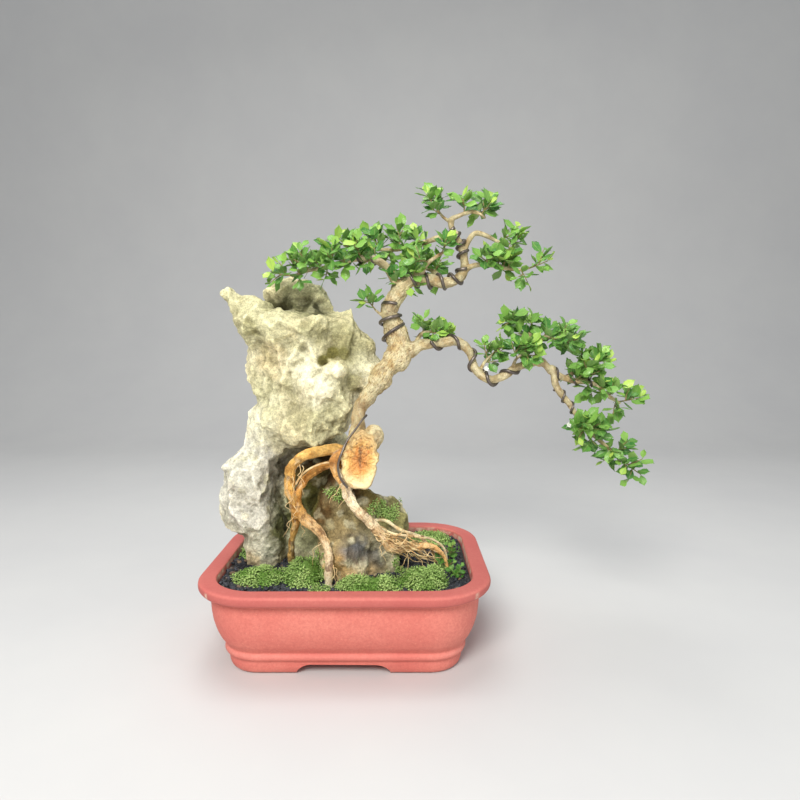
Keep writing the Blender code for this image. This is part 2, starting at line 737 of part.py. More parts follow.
class Crowd:
    """The solids placed so far, so that a new piece can be kept clear of them."""

    def __init__(self):
        self.members = []

    def add(self, obj):
        graph = bpy.context.evaluated_depsgraph_get()
        mesh = obj.evaluated_get(graph).to_mesh()
        points = [v.co.copy() for v in mesh.vertices]
        faces = [tuple(p.vertices) for p in mesh.polygons]
        obj.evaluated_get(graph).to_mesh_clear()
        self.add_shape(points, faces)

    def add_shape(self, points, faces):
        low = Vector([min(p[k] for p in points) for k in range(3)])
        high = Vector([max(p[k] for p in points) for k in range(3)])
        self.members.append((low, high, BVHTree.FromPolygons(points, faces)))

    def meets(self, points, faces):
        low = [min(p[k] for p in points) for k in range(3)]
        high = [max(p[k] for p in points) for k in range(3)]
        shape = None
        for other_low, other_high, tree in self.members:
            if any(low[k] > other_high[k] or high[k] < other_low[k] for k in range(3)):
                continue
            shape = shape or BVHTree.FromPolygons(points, faces)
            if shape.overlap(tree):
                return True
        return False


def ring_faces(count, sides, first=0):
    faces = []
    for k in range(count - 1):
        for i in range(sides):
            j = (i + 1) % sides
            low, high = first + k * sides, first + (k + 1) * sides
            faces.append((low + i, low + j, high + j, high + i))
    return faces


# Wire name: branch, share of the branch where it starts and ends, pitch in millimetres, radius
WIRES = {
    "wire_trunk": ("trunk", 0.36, 0.47, 13, WIRE_RADIUS),
    "wire_crown": ("trunk", 0.545, 0.735, 13, WIRE_RADIUS),
    "wire_apex": ("trunk", 0.765, 0.86, 8, WIRE_RADIUS),
    "wire_cascade": ("cascade", 0.13, 0.60, 23, WIRE_RADIUS),
    "wire_cascade_end": ("cascade", 0.70, 0.87, 16, THIN_WIRE_RADIUS),
    "wire_fork": ("fork", 0.16, 0.62, 13, THIN_WIRE_RADIUS),
    "wire_left_branch": ("left_low", 0.28, 0.52, 13, THIN_WIRE_RADIUS),
}
WIRE_SIDES = 5
POINTS_A_TURN = 8
COIL_SLACK = 1.12


class Line:
    """A branch's centre line, to be asked for a place at any share of its length."""

    def __init__(self, points):
        self.path = planted_path(points)
        self.frames = frames_along(self.path)
        self.lengths = [0.0]
        for a, b in zip(self.frames, self.frames[1:]):
            self.lengths.append(self.lengths[-1] + (b[0] - a[0]).length)

    def at(self, share):
        """(centre, across, up, radius) at that share."""
        target = share * self.lengths[-1]
        k = max(i for i, length in enumerate(self.lengths[:-1]) if length <= target + 1e-9)
        t = (target - self.lengths[k]) / (self.lengths[k + 1] - self.lengths[k])
        (c0, a0, u0), (c1, a1, u1) = self.frames[k], self.frames[k + 1]
        radius = self.path[k].w + (self.path[k + 1].w - self.path[k].w) * t
        return c0.lerp(c1, t), a0.lerp(a1, t).normalized(), u0.lerp(u1, t).normalized(), radius


def coil_path(line, start, end, pitch, radius, phase):
    turns = (end - start) * line.lengths[-1] / (pitch * MM)
    count = max(6, round(turns * POINTS_A_TURN))
    path = []
    for i in range(count + 1):
        centre, across, up, girth = line.at(start + (end - start) * i / count)
        angle = phase + 2 * math.pi * turns * i / count
        out = across * math.cos(angle) + up * math.sin(angle)
        away = (girth + radius + CLEARANCE) * COIL_SLACK
        path.append(Vector((*(centre + out * away), radius)))
    return path


def coil_choices(branch, start, end, pitch, radius):
    """Coils to try: any turn about the branch, then a wider pitch, then ever shorter ones."""
    line = Line(BRANCHES[branch])
    for shorter in range(8):
        last = end - (end - start) * 0.1 * shorter
        for stretch in (1.0, 0.85, 1.2):
            for k in range(20):
                phase = 2 * math.pi * k / 20
                yield coil_path(line, start, last, pitch * stretch, radius, phase)


def build_wire(name, spec, finish, crowd):
    """A wire wound round a branch, clear of the side branches."""
    for path in coil_choices(*spec):
        fat = [p for ring in tube_rings(path, WIRE_SIDES, CLEARANCE) for p in ring]
        if not crowd.meets(fat, ring_faces(len(path), WIRE_SIDES)):
            break
    bm = bmesh.new()
    add_tube(bm, path, WIRE_SIDES)
    wire = add_object(name, mesh_of(bm, name, 50), finish)
    crowd.add(wire)
    return wire


ANCHOR = (
    (27, -33, 152), (20, -39, 145), (11, -45, 137), (3, -50, 128), (-4, -55, 117),
    (-7, -57, 105), (-4, -58, 95), (2, -57, 87),
)
ANCHOR_TRIES = 30
ANCHOR_STEP = 0.5


def build_anchor(finish, crowd):
    """The free end of the training wire, laid down in front of the burl, as near as it fits."""
    for step in range(ANCHOR_TRIES):
        forward = step * ANCHOR_STEP
        row = [Vector((*planted(x, y - forward, z), THIN_WIRE_RADIUS)) for x, y, z in ANCHOR]
        path = smooth_path(row, 0.005)
        fat = [p for ring in tube_rings(path, WIRE_SIDES, CLEARANCE) for p in ring]
        if not crowd.meets(fat, ring_faces(len(path), WIRE_SIDES)):
            break
    bm = bmesh.new()
    add_tube(bm, path, WIRE_SIDES)
    wire = add_object("wire_anchor", mesh_of(bm, "wire_anchor", 50), finish)
    crowd.add(wire)
    return wire


# ---------------------------------------------------------------- leaves

# Shoot name: branch, share of its length, direction, leaves, twig length in millimetres
SHOOTS = {
    "shoot_apex_right": ("trunk", 0.985, (0.5, -0.3, 0.9), 7, 14),
    "shoot_apex_middle": ("trunk", 0.93, (-0.1, 0.3, 1.0), 6, 12),
    "shoot_apex_left": ("apex_left", 0.97, (-0.6, -0.2, 0.9), 7, 14),
    "shoot_right_high": ("right_high", 0.985, (0.7, -0.1, 0.7), 7, 13),
    "shoot_right_low_tip": ("right_low", 0.985, (1.0, -0.1, 0.3), 7, 14),
    "shoot_right_low_top": ("right_low", 0.66, (0.3, 0.4, 0.9), 7, 12),
    "shoot_right_low_front": ("right_low", 0.40, (0.1, -0.9, 0.2), 6, 13),
    "shoot_centre_tip": ("centre", 0.97, (0.2, -0.5, 0.9), 6, 12),
    "shoot_centre_front": ("centre", 0.55, (-0.5, -0.9, -0.3), 7, 16),
    "shoot_back_tip": ("back", 0.98, (-0.3, 0.9, 0.3), 8, 15),
    "shoot_left_high_tip": ("left_high", 0.98, (-0.9, 0.1, 0.4), 8, 15),
    "shoot_left_high_outer": ("left_high", 0.78, (-0.3, 0.5, 0.9), 7, 14),
    "shoot_left_high_middle": ("left_high", 0.56, (-0.2, 0.1, 1.0), 7, 13),
    "shoot_left_low_tip": ("left_low", 0.985, (-0.9, -0.2, 0.1), 8, 14),
    "shoot_left_low_outer": ("left_low", 0.86, (-0.3, -0.6, 0.7), 7, 13),
    "shoot_left_low_middle": ("left_low", 0.68, (0.1, -0.6, 0.8), 7, 13),
    "shoot_left_low_inner": ("left_low", 0.42, (-0.1, -0.8, 0.6), 7, 14),
    "shoot_trunk_sprig": ("trunk_sprig", 0.96, (-0.6, -0.4, 0.8), 5, 9),
    "shoot_base_sprig": ("base_sprig", 0.98, (0.9, 0.0, 0.4), 7, 15),
    "shoot_bend_sprig": ("bend_sprig", 0.98, (0.5, -0.1, 0.8), 6, 10),
    "shoot_middle_sprig": ("middle_sprig", 0.98, (0.3, -0.4, 0.9), 6, 10),
    "shoot_upper_tip": ("upper", 0.98, (-0.6, -0.1, 0.8), 8, 14),
    "shoot_upper_right": ("upper_right", 0.98, (0.7, -0.2, 0.7), 8, 14),
    "shoot_shoulder_tip": ("shoulder", 0.98, (0.9, 0.2, 0.5), 8, 14),
    "shoot_shoulder_front": ("cascade", 0.84, (0.2, -0.6, 0.8), 7, 13),
    "shoot_cascade_tip": ("cascade", 0.99, (0.8, -0.1, 0.1), 8, 13),
    "shoot_fork_upper": ("fork", 0.60, (-0.7, -0.4, 0.2), 7, 12),
    "shoot_fork_tip": ("fork", 0.98, (0.7, -0.2, -0.6), 7, 14),
}
WEEDS = {
    "weed_right": ((97, 4, 1), (0.3, -0.2, 1.0), 6, 12),
    "weed_front": ((98, -42, 1), (0.1, -0.5, 1.0), 5, 10),
}
TWIG_SIDES = 5
GOLDEN_ANGLE = 2.39996
LEAF_STANDS_OUT = 0.65
LEAF_TRIES = 11
WEED_LEAF_SCALE = 0.7
LEAF_SECTIONS = ((0.2, 0.22), (0.62, 1.0), (1.0, 0.42))
LEAF_BEYOND_STALK = ((0.25, 0.40), (0.62, 1.0), (1.0, 0.42))


def leaf_sections(base, direction, normal, length, width, margin=0.0, shares=LEAF_SECTIONS):
    """Corner points of the blade's cross-sections, from the leaf stalk to the tip."""
    across = direction.cross(normal).normalized()
    thick = LEAF_THICKNESS / 2 + margin
    rings = []
    for share, wide in shares:
        middle = base + direction * (length * share + (margin if share == 1.0 else 0.0))
        side = width * wide / 2 + margin
        corners = ((1, 1), (-1, 1), (-1, -1), (1, -1))
        rings.append([middle + across * a * side + normal * b * thick for a, b in corners])
    return rings


def box_faces(rings):
    points = [p for ring in rings for p in ring]
    faces = ring_faces(len(rings), 4) + [(3, 2, 1, 0)]
    last = len(points) - 4
    return points, faces + [(last, last + 1, last + 2, last + 3)]


def grow_leaf(bm, face, rings):
    """Draws the leaf out of one face of the twig, so that twig and leaf are one body."""
    corners = [v.co.copy() for v in face.verts]
    row = list(face.verts)
    outward = face.normal.copy()
    bm.faces.remove(face)
    first = rings[0]
    facing = (first[1] - first[0]).cross(first[2] - first[1]).dot(outward)
    flip = 1 if facing > 0 else -1
    turn = min(
        range(4),
        key=lambda t: sum((corners[i] - first[(t + flip * i) % 4]).length for i in range(4)),
    )
    for ring in rings:
        placed = [bm.verts.new(ring[(turn + flip * i) % 4]) for i in range(4)]
        for i in range(4):
            j = (i + 1) % 4
            bm.faces.new((row[i], row[j], placed[j], placed[i]))
        row = placed
    bm.faces.new(row)


def leaf_directions(along, out, tries):
    """The wanted direction first, then others ever further round the twig."""
    for k in range(tries):
        swing = math.radians(14) * ((k + 1) // 2) * (1 if k % 2 else -1)
        lift = 0.95 + 0.3 * (k % 3)
        turned = Matrix.Rotation(swing, 3, along) @ out
        yield (turned * lift + along * 0.75).normalized()


def build_shoot(name, start, direction, leaves, length, finish, crowd, leaf_scale=1.0):
    random.seed(name)
    direction = Vector(direction).normalized()
    count = leaves + 1
    bend = Vector((0, 0, 0.25)) * length * MM
    path = []
    for i in range(count + 1):
        t = i / count
        place = start + direction * length * MM * t + bend * t * t * 0.5
        path.append(Vector((*place, TWIG_RADIUS * (1 - 0.4 * t))))
    bm = bmesh.new()
    add_tube(bm, path, TWIG_SIDES)
    bm.normal_update()
    buds = dict(enumerate(bm.faces))
    frames = frames_along(path)
    twig = [p for ring in tube_rings(path, TWIG_SIDES, CLEARANCE) for p in ring]
    own = Crowd()
    own.add_shape(twig, ring_faces(len(path), TWIG_SIDES))
    for leaf in range(leaves):
        row = count - 1 - round(leaf * (count - 2) / leaves)
        angle = GOLDEN_ANGLE * leaf + random.uniform(0, 6.28)
        side = int(angle / (2 * math.pi) * TWIG_SIDES) % TWIG_SIDES
        while row * TWIG_SIDES + side not in buds:
            side = (side + 1) % TWIG_SIDES
        bud = buds.pop(row * TWIG_SIDES + side)
        _, across, up = frames[row]
        along = across.cross(up).normalized()
        turn = 2 * math.pi * (side + 0.5) / TWIG_SIDES
        out = across * math.cos(turn) + up * math.sin(turn)
        size = leaf_scale * random.uniform(0.8, 1.15)
        for way in leaf_directions(along, out, LEAF_TRIES):
            if way.dot(out) < LEAF_STANDS_OUT:
                continue
            level = Vector((random.uniform(-0.4, 0.4), random.uniform(-0.6, 0.1), 1.0))
            normal = level - way * level.dot(way)
            normal = normal.normalized() if normal.length > 0.2 else way.orthogonal()
            base = bud.calc_center_median()
            shape = (base, way, normal.normalized(), LEAF_LENGTH * size, LEAF_WIDTH * size)
            blade = box_faces(leaf_sections(*shape, CLEARANCE, LEAF_BEYOND_STALK))
            if crowd.meets(*blade) or own.meets(*blade):
                continue
            own.add_shape(*blade)
            grow_leaf(bm, bud, leaf_sections(*shape))
            break
    shoot = add_object(name, mesh_of(bm, name), finish)
    crowd.add(shoot)
    return shoot


# ---------------------------------------------------------------- assembly


def build_all():
    clear_scene()
    clay = material("clay", (0.62, 0.20, 0.14), 0.75)
    plastic = material("mesh_plastic", (0.02, 0.02, 0.02), 0.5)
    wire_metal = material("wire_metal", (0.20, 0.17, 0.14), 0.45, 0.8)
    grit = material("grit", (0.42, 0.33, 0.24), 0.95)
    soil_finish = material("soil", (0.030, 0.032, 0.038), 0.95)
    stone = material("stone", (0.62, 0.57, 0.38), 0.95)
    wood = material("wood", (0.62, 0.47, 0.27), 0.85)
    moss_finish = material("moss", (0.12, 0.24, 0.05), 0.95)
    leaf_finish = material("leaf", (0.10, 0.30, 0.06), 0.4)

    build_pot(clay)
    for side, place in drain_places():
        build_drain_mesh(side, place, plastic)
        build_staple(side, place, wire_metal)
    build_gravel(grit)

    rock, rock_room = build_rock(stone)
    rock_faces = BVHTree.FromObject(rock, bpy.context.evaluated_depsgraph_get())
    roots = root_paths(rock_faces)
    wood_room = add_object(
        "wood_room", tree_mesh("wood_room", roots, CUT_CLEARANCE, True), None, helper=True
    )
    burl_room = add_object("burl_room", burl_mesh("burl_room", CUT_CLEARANCE), None, helper=True)
    cut(rock, wood_room, crossing_cutter=True)
    keep_largest_body(cut(rock, burl_room, crossing_cutter=True))
    tree = build_tree(roots, wood)

    soil = filling("soil", FLOOR_TOP + GRAVEL_DEPTH + CLEARANCE, SOIL_TOP, soil_finish)
    cut(soil, rock_room, crossing_cutter=True)
    keep_largest_body(cut(soil, wood_room, crossing_cutter=True))
    crowd = Crowd()
    for obj in (rock, tree):
        crowd.add(obj)
    for name, place in MOSS.items():
        crowd.add(build_moss(name, place, moss_finish, (rock_room, wood_room)))
    for name, spec in WIRES.items():
        build_wire(name, spec, wire_metal, crowd)
    build_anchor(wire_metal, crowd)

    for name, (branch, share, direction, leaves, length) in SHOOTS.items():
        centre, across, up, radius = Line(BRANCHES[branch]).at(share)
        along = across.cross(up).normalized()
        way = Vector(direction).normalized()
        out = way if share > 0.95 else (way - along * way.dot(along)).normalized()
        gap = (0.002 if share > 0.95 else radius) + 3 * CLEARANCE
        start = centre + out * gap
        build_shoot(name, start, direction, leaves, length, leaf_finish, crowd)
    for name, (place, direction, leaves, length) in WEEDS.items():
        start = planted(*place)
        build_shoot(name, start, direction, leaves, length, leaf_finish, crowd, WEED_LEAF_SCALE)
    stand_on_origin()


def stand_on_origin():
    """Hangs every piece from one empty and puts the origin under the middle of the object."""
    root = bpy.data.objects.new("bonsai", None)
    bpy.context.scene.collection.objects.link(root)
    bpy.context.view_layer.update()
    graph = bpy.context.evaluated_depsgraph_get()
    corners = []
    for obj in bpy.context.scene.objects:
        if obj.type in ("MESH", "CURVE"):
            obj.parent = root
            if not obj.hide_render:
                mesh = obj.evaluated_get(graph).to_mesh()
                corners += [(v.co.x, v.co.y) for v in mesh.vertices]
                obj.evaluated_get(graph).to_mesh_clear()
    for axis in (0, 1):
        values = [c[axis] for c in corners]
        root.location[axis] = -(min(values) + max(values)) / 2


build_all()
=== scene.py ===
"""The looks of the root-over-rock bonsai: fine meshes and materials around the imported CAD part.

All lengths are in metres in the row frame. The planting is drawn in millimetres measured from the
middle of the pot and up from the soil, as in the CAD source, so each fine piece lies on its node.
"""

import math
import random

import bmesh
import bpy
import numpy as np
from mathutils import Matrix, Vector
from mathutils.bvhtree import BVHTree
from mathutils.kdtree import KDTree


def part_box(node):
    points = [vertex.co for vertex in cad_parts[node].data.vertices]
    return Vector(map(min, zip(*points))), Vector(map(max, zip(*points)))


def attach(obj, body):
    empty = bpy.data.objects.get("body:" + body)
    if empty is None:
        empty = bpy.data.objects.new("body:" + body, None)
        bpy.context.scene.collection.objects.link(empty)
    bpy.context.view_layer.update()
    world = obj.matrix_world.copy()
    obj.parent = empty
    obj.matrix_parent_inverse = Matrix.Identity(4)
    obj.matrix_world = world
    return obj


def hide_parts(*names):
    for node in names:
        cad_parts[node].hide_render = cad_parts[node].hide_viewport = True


MM = 0.001
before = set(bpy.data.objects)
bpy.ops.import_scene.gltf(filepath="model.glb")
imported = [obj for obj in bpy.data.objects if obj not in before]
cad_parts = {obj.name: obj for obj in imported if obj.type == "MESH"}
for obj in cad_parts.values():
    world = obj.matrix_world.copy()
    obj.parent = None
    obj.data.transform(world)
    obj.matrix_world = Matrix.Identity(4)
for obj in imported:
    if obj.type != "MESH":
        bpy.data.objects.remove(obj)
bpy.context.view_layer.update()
pot_low, pot_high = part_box("pot")
POT_MIDDLE = Vector(((pot_low.x + pot_high.x) / 2, (pot_low.y + pot_high.y) / 2, 0.0))
SOIL_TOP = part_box("soil")[1].z

ROCK_VOXEL = 0.00125
WOOD_VOXEL = 0.00055
GRAIN_SPACING = 0.0036
MOSS_SPACING = 0.0021


# ---------------------------------------------------------------- noise and arrays


def scattered(ix, iy, iz, seed):
    """A number from 0 to 1 for each lattice point, always the same one."""
    with np.errstate(over="ignore"):
        h = ix.astype(np.uint64) * np.uint64(0x9E3779B97F4A7C15)
        h ^= iy.astype(np.uint64) * np.uint64(0xC2B2AE3D27D4EB4F)
        h ^= iz.astype(np.uint64) * np.uint64(0x165667B19E3779F9)
        h += np.uint64(seed * 7919 + 13)
        h ^= h >> np.uint64(29)
        h *= np.uint64(0xBF58476D1CE4E5B9)
        h ^= h >> np.uint64(32)
    return (h & np.uint64(0xFFFFFF)).astype(float) / 0xFFFFFF


def soft_noise(points, seed):
    """Smooth noise from -1 to 1, one wave for each unit of length."""
    cell = np.floor(points).astype(np.int64)
    part = points - cell
    fade = part * part * part * (part * (part * 6 - 15) + 10)
    total = np.zeros(len(points))
    for dx in (0, 1):
        for dy in (0, 1):
            for dz in (0, 1):
                weight = np.ones(len(points))
                for axis, d in enumerate((dx, dy, dz)):
                    weight *= fade[:, axis] if d else 1 - fade[:, axis]
                total += weight * scattered(cell[:, 0] + dx, cell[:, 1] + dy, cell[:, 2] + dz, seed)
    return total * 2 - 1


def layered(points, layers, seed):
    """Smooth noise with finer, fainter noise on it."""
    total, gain = np.zeros(len(points)), 1.0
    for k in range(layers):
        total += gain * soft_noise(points * 2.03**k + 17.3 * k, seed + k)
        gain *= 0.5
    return total


def ridged(points, layers, seed):
    """Noise with sharp crests, from 0 to about 1."""
    total, gain, whole = np.zeros(len(points)), 1.0, 0.0
    for k in range(layers):
        total += gain * (1 - np.abs(soft_noise(points * 2.03**k + 9.1 * k, seed + k)))
        whole += gain
        gain *= 0.5
    return total / whole


def cells(points, seed):
    """Distances to the nearest and the second nearest of one random point per unit cube."""
    cell = np.floor(points).astype(np.int64)
    near = np.full(len(points), 9.0)
    second = np.full(len(points), 9.0)
    for dx in (-1, 0, 1):
        for dy in (-1, 0, 1):
            for dz in (-1, 0, 1):
                at = (cell[:, 0] + dx, cell[:, 1] + dy, cell[:, 2] + dz)
                place = np.stack([scattered(*at, seed + k) for k in (1, 2, 3)], axis=1)
                place += np.stack(at, axis=1)
                far = np.linalg.norm(points - place, axis=1)
                second = np.minimum(second, np.maximum(near, far))
                near = np.minimum(near, far)
    return near, second


def eased(x, low, high):
    t = np.clip((x - low) / (high - low), 0, 1)
    return t * t * (3 - 2 * t)


def dots(a, b):
    return np.einsum("ij,ij->i", a, b)


def blended(tint, colour, weight):
    """The colours moved towards one colour, by a weight for each point."""
    return tint * (1 - weight[:, None]) + colour * weight[:, None]


def points_of(mesh):
    co = np.empty(len(mesh.vertices) * 3)
    mesh.vertices.foreach_get("co", co)
    return co.reshape(-1, 3)


def normals_of(mesh):
    found = np.empty(len(mesh.vertices) * 3)
    mesh.vertices.foreach_get("normal", found)
    return found.reshape(-1, 3)


def set_points(mesh, co):
    mesh.vertices.foreach_set("co", np.ascontiguousarray(co, np.float32).ravel())
    mesh.update()


def relaxed(mesh, co, times):
    """The points after that many rounds of moving half-way to the mean of their neighbours."""
    ends = np.empty(len(mesh.edges) * 2, np.int64)
    mesh.edges.foreach_get("vertices", ends)
    a, b = ends.reshape(-1, 2).T
    count = np.maximum(np.bincount(a, minlength=len(co)) + np.bincount(b, minlength=len(co)), 1)
    for _ in range(times):
        total = np.stack(
            [
                np.bincount(a, co[b, k], len(co)) + np.bincount(b, co[a, k], len(co))
                for k in range(3)
            ],
            axis=1,
        )
        co = 0.5 * co + 0.5 * total / count[:, None]
    return co


def srgb(red, green, blue):
    def linear(v):
        v /= 255
        return v / 12.92 if v <= 0.04045 else ((v + 0.055) / 1.055) ** 2.4

    return np.array([linear(red), linear(green), linear(blue)])


# ---------------------------------------------------------------- objects


def add_piece(name, mesh, finishes, nodes=(), smooth=True):
    """Puts a finished mesh in the scene, riding on the part and standing for its CAD nodes."""
    piece = bpy.data.objects.new(name, mesh)
    bpy.context.scene.collection.objects.link(piece)
    for finish in finishes if isinstance(finishes, (list, tuple)) else [finishes]:
        mesh.materials.append(finish)
    if smooth:
        mesh.shade_smooth()
    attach(piece, "root")
    if nodes:
        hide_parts(*nodes)
    return piece


def add_lump(bm, centre, radii, tilt, fineness):
    """An ellipsoid, given in the planting's millimetres and tilted about the front axis."""
    placed = Matrix.Translation(planted(*centre)) @ Matrix.Rotation(math.radians(tilt), 4, "Y")
    placed = placed @ Matrix.Diagonal((*(r * MM for r in radii), 1.0))
    bmesh.ops.create_icosphere(bm, subdivisions=fineness, radius=1.0, matrix=placed)


def mesh_of(bm, name):
    """A mesh made from that bmesh, which is freed."""
    mesh = bpy.data.meshes.new(name)
    bm.to_mesh(mesh)
    bm.free()
    return mesh


def helper_object(mesh):
    obj = bpy.data.objects.new("helper", mesh)
    bpy.context.scene.collection.objects.link(obj)
    return obj


def baked(obj):
    """The mesh that the object's modifiers make. The object itself is removed."""
    graph = bpy.context.evaluated_depsgraph_get()
    made = bpy.data.meshes.new_from_object(obj.evaluated_get(graph))
    bpy.data.objects.remove(obj)
    return made


def one_skin(mesh, voxel):
    obj = helper_object(mesh)
    remesh = obj.modifiers.new("skin", "REMESH")
    remesh.mode = "VOXEL"
    remesh.voxel_size = voxel
    return baked(obj)


def set_number(mesh, name, values):
    layer = mesh.attributes.new(name, "FLOAT", "POINT")
    layer.data.foreach_set("value", np.ascontiguousarray(values, np.float32))


def set_tint(mesh, colours):
    layer = mesh.attributes.new("tint", "FLOAT_COLOR", "POINT")
    full = np.ones((len(colours), 4), np.float32)
    full[:, :3] = np.clip(colours, 0, 1)
    layer.data.foreach_set("color", full.ravel())


class Soup:
    """Small shapes gathered into one mesh, with numbers and material indices beside them."""

    def __init__(self):
        self.points, self.faces, self.kinds = [], [], []
        self.numbers = {}
        self.count = 0

    def add(self, points, faces, kind=0, **numbers):
        self.points.append(np.asarray(points, float))
        self.faces += [tuple(i + self.count for i in face) for face in faces]
        self.kinds += [kind] * len(faces)
        for name, value in numbers.items():
            row = np.broadcast_to(np.asarray(value, float), (len(points),))
            self.numbers.setdefault(name, []).append(row)
        self.count += len(points)

    def take(self, bm, **numbers):
        """Adds what that bmesh holds, and frees it."""
        bm.verts.index_update()
        faces = [tuple(v.index for v in f.verts) for f in bm.faces]
        self.add([v.co for v in bm.verts], faces, **numbers)
        bm.free()

    def mesh(self, name):
        made = bpy.data.meshes.new(name)
        made.from_pydata(np.concatenate(self.points).tolist(), [], self.faces)
        made.polygons.foreach_set("material_index", self.kinds)
        for key, rows in self.numbers.items():
            set_number(made, key, np.concatenate(rows))
        made.update()
        return made


def planted(x, y, z):
    return POT_MIDDLE + Vector((x * MM, y * MM, SOIL_TOP + z * MM))


def smooth_path(points, step):
    """Catmull-Rom through (x, y, z, radius) points, a new point about every step metres."""
    padded = [points[0] * 2 - points[1], *points, points[-1] * 2 - points[-2]]
    path = []
    for a, b, c, d in zip(padded, padded[1:], padded[2:], padded[3:]):
        count = max(1, round((c.to_3d() - b.to_3d()).length / step))
        for i in range(count):
            t = i / count
            bent = 2 * b + (c - a) * t + (2 * a - 5 * b + 4 * c - d) * t**2
            path.append(0.5 * (bent + (3 * b - a - 3 * c + d) * t**3))
    return [*path, points[-1].copy()]


def planted_path(points, step):
    return smooth_path([Vector((*planted(x, y, z), r * MM)) for x, y, z, r in points], step)


def frames_along(path):
    centres = [p.to_3d() for p in path]
    frames, across = [], None
    for i, centre in enumerate(centres):
        before, after = centres[max(i - 1, 0)], centres[min(i + 1, len(centres) - 1)]
        along = (after - before).normalized()
        if across is None:
            across = along.orthogonal().normalized()
        across = (across - along * across.dot(along)).normalized()
        frames.append((centre, across, along.cross(across)))
    return frames


def tube(path, sides):
    """Points and faces of a tube with rounded-off ends."""
    frames = frames_along(path)
    points = []
    turns = [2 * math.pi * k / sides for k in range(sides)]
    for (centre, across, up), point in zip(frames, path):
        for t in turns:
            points.append(centre + (across * math.cos(t) + up * math.sin(t)) * point.w)
    faces = []
    for row in range(len(path) - 1):
        for i in range(sides):
            j = (i + 1) % sides
            low, high = row * sides, (row + 1) * sides
            faces.append((low + i, low + j, high + j, high + i))
    for row, sign in ((0, -1), (len(path) - 1, 1)):
        centre, across, up = frames[row]
        along = across.cross(up) * sign
        points.append(centre + along * path[row].w * 0.6)
        tip = len(points) - 1
        for i in range(sides):
            j = (i + 1) % sides
            edge = (row * sides + i, row * sides + j)
            faces.append((*edge, tip) if sign > 0 else (edge[1], edge[0], tip))
    return np.array(points), faces


class Line:
    """A branch's centre line, to be asked for a place at any share of its length."""

    def __init__(self, points, step=0.004):
        self.path = planted_path(points, step)
        self.frames = frames_along(self.path)
        self.lengths = [0.0]
        for a, b in zip(self.frames, self.frames[1:]):
            self.lengths.append(self.lengths[-1] + (b[0] - a[0]).length)

    def at(self, share):
        target = share * self.lengths[-1]
        k = max(i for i, length in enumerate(self.lengths[:-1]) if length <= target + 1e-9)
        t = (target - self.lengths[k]) / (self.lengths[k + 1] - self.lengths[k])
        (c0, a0, u0), (c1, a1, u1) = self.frames[k], self.frames[k + 1]
        radius = self.path[k].w + (self.path[k + 1].w - self.path[k].w) * t
        return c0.lerp(c1, t), a0.lerp(a1, t).normalized(), u0.lerp(u1, t).normalized(), radius


# ---------------------------------------------------------------- materials


class Finish:
    """A material in the making: its nodes, its Principled shader and the object coordinates."""

    def __init__(self, name):
        self.made = bpy.data.materials.new(name)
        self.made.use_nodes = True
        self.tree = self.made.node_tree
        self.shader = self.tree.nodes["Principled BSDF"]
        self.place = self.node("TexCoord").outputs["Object"]

    def fill(self, socket, value):
        if isinstance(value, bpy.types.NodeSocket):
            self.tree.links.new(value, socket)
        else:
            socket.default_value = value

    def node(self, kind, values=(), **settings):
        made = self.tree.nodes.new("ShaderNode" + kind)
        for key, value in settings.items():
            setattr(made, key, value)
        for key, value in dict(values).items():
            self.fill(made.inputs[key], value)
        return made

    def mixed(self, share, a, b, mode="MIX"):
        made = self.node("Mix", {0: share}, data_type="RGBA", blend_type=mode)
        for socket, value in ((made.inputs[6], a), (made.inputs[7], b)):
            colour = value if isinstance(value, bpy.types.NodeSocket) else (*value, 1.0)
            self.fill(socket, colour)
        return made.outputs[2]

    def ranged(self, value, low, high, to_low=0.0, to_high=1.0):
        values = {0: value, 1: low, 2: high, 3: to_low, 4: to_high}
        return self.node("MapRange", values).outputs[0]

    def noise(self, scale, detail, rough):
        values = {"Scale": scale, "Detail": detail, "Roughness": rough, "Vector": self.place}
        return self.node("TexNoise", values).outputs[0]

    def number(self, name):
        return self.node("Attribute", attribute_name=name).outputs["Fac"]

    def calc(self, operation, a, b=0.0):
        return self.node("Math", {0: a, 1: b}, operation=operation).outputs[0]

    def coat(self, base, roughness, specular=0.5):
        self.tree.links.new(base, self.shader.inputs["Base Color"])
        self.shader.inputs["Roughness"].default_value = roughness
        self.shader.inputs["Specular IOR Level"].default_value = specular

    def light_through(self, base, share):
        """Lets that share of the light through, as thin green tissue does."""
        thin = self.node("BsdfTranslucent", {"Color": base})
        both = self.node("MixShader", {0: share, 1: self.shader.outputs[0], 2: thin.outputs[0]})
        self.tree.links.new(both.outputs[0], self.tree.nodes["Material Output"].inputs["Surface"])

    def bump(self, height, distance, strength):
        values = {"Height": height, "Distance": distance, "Strength": strength}
        self.tree.links.new(self.node("Bump", values).outputs[0], self.shader.inputs["Normal"])


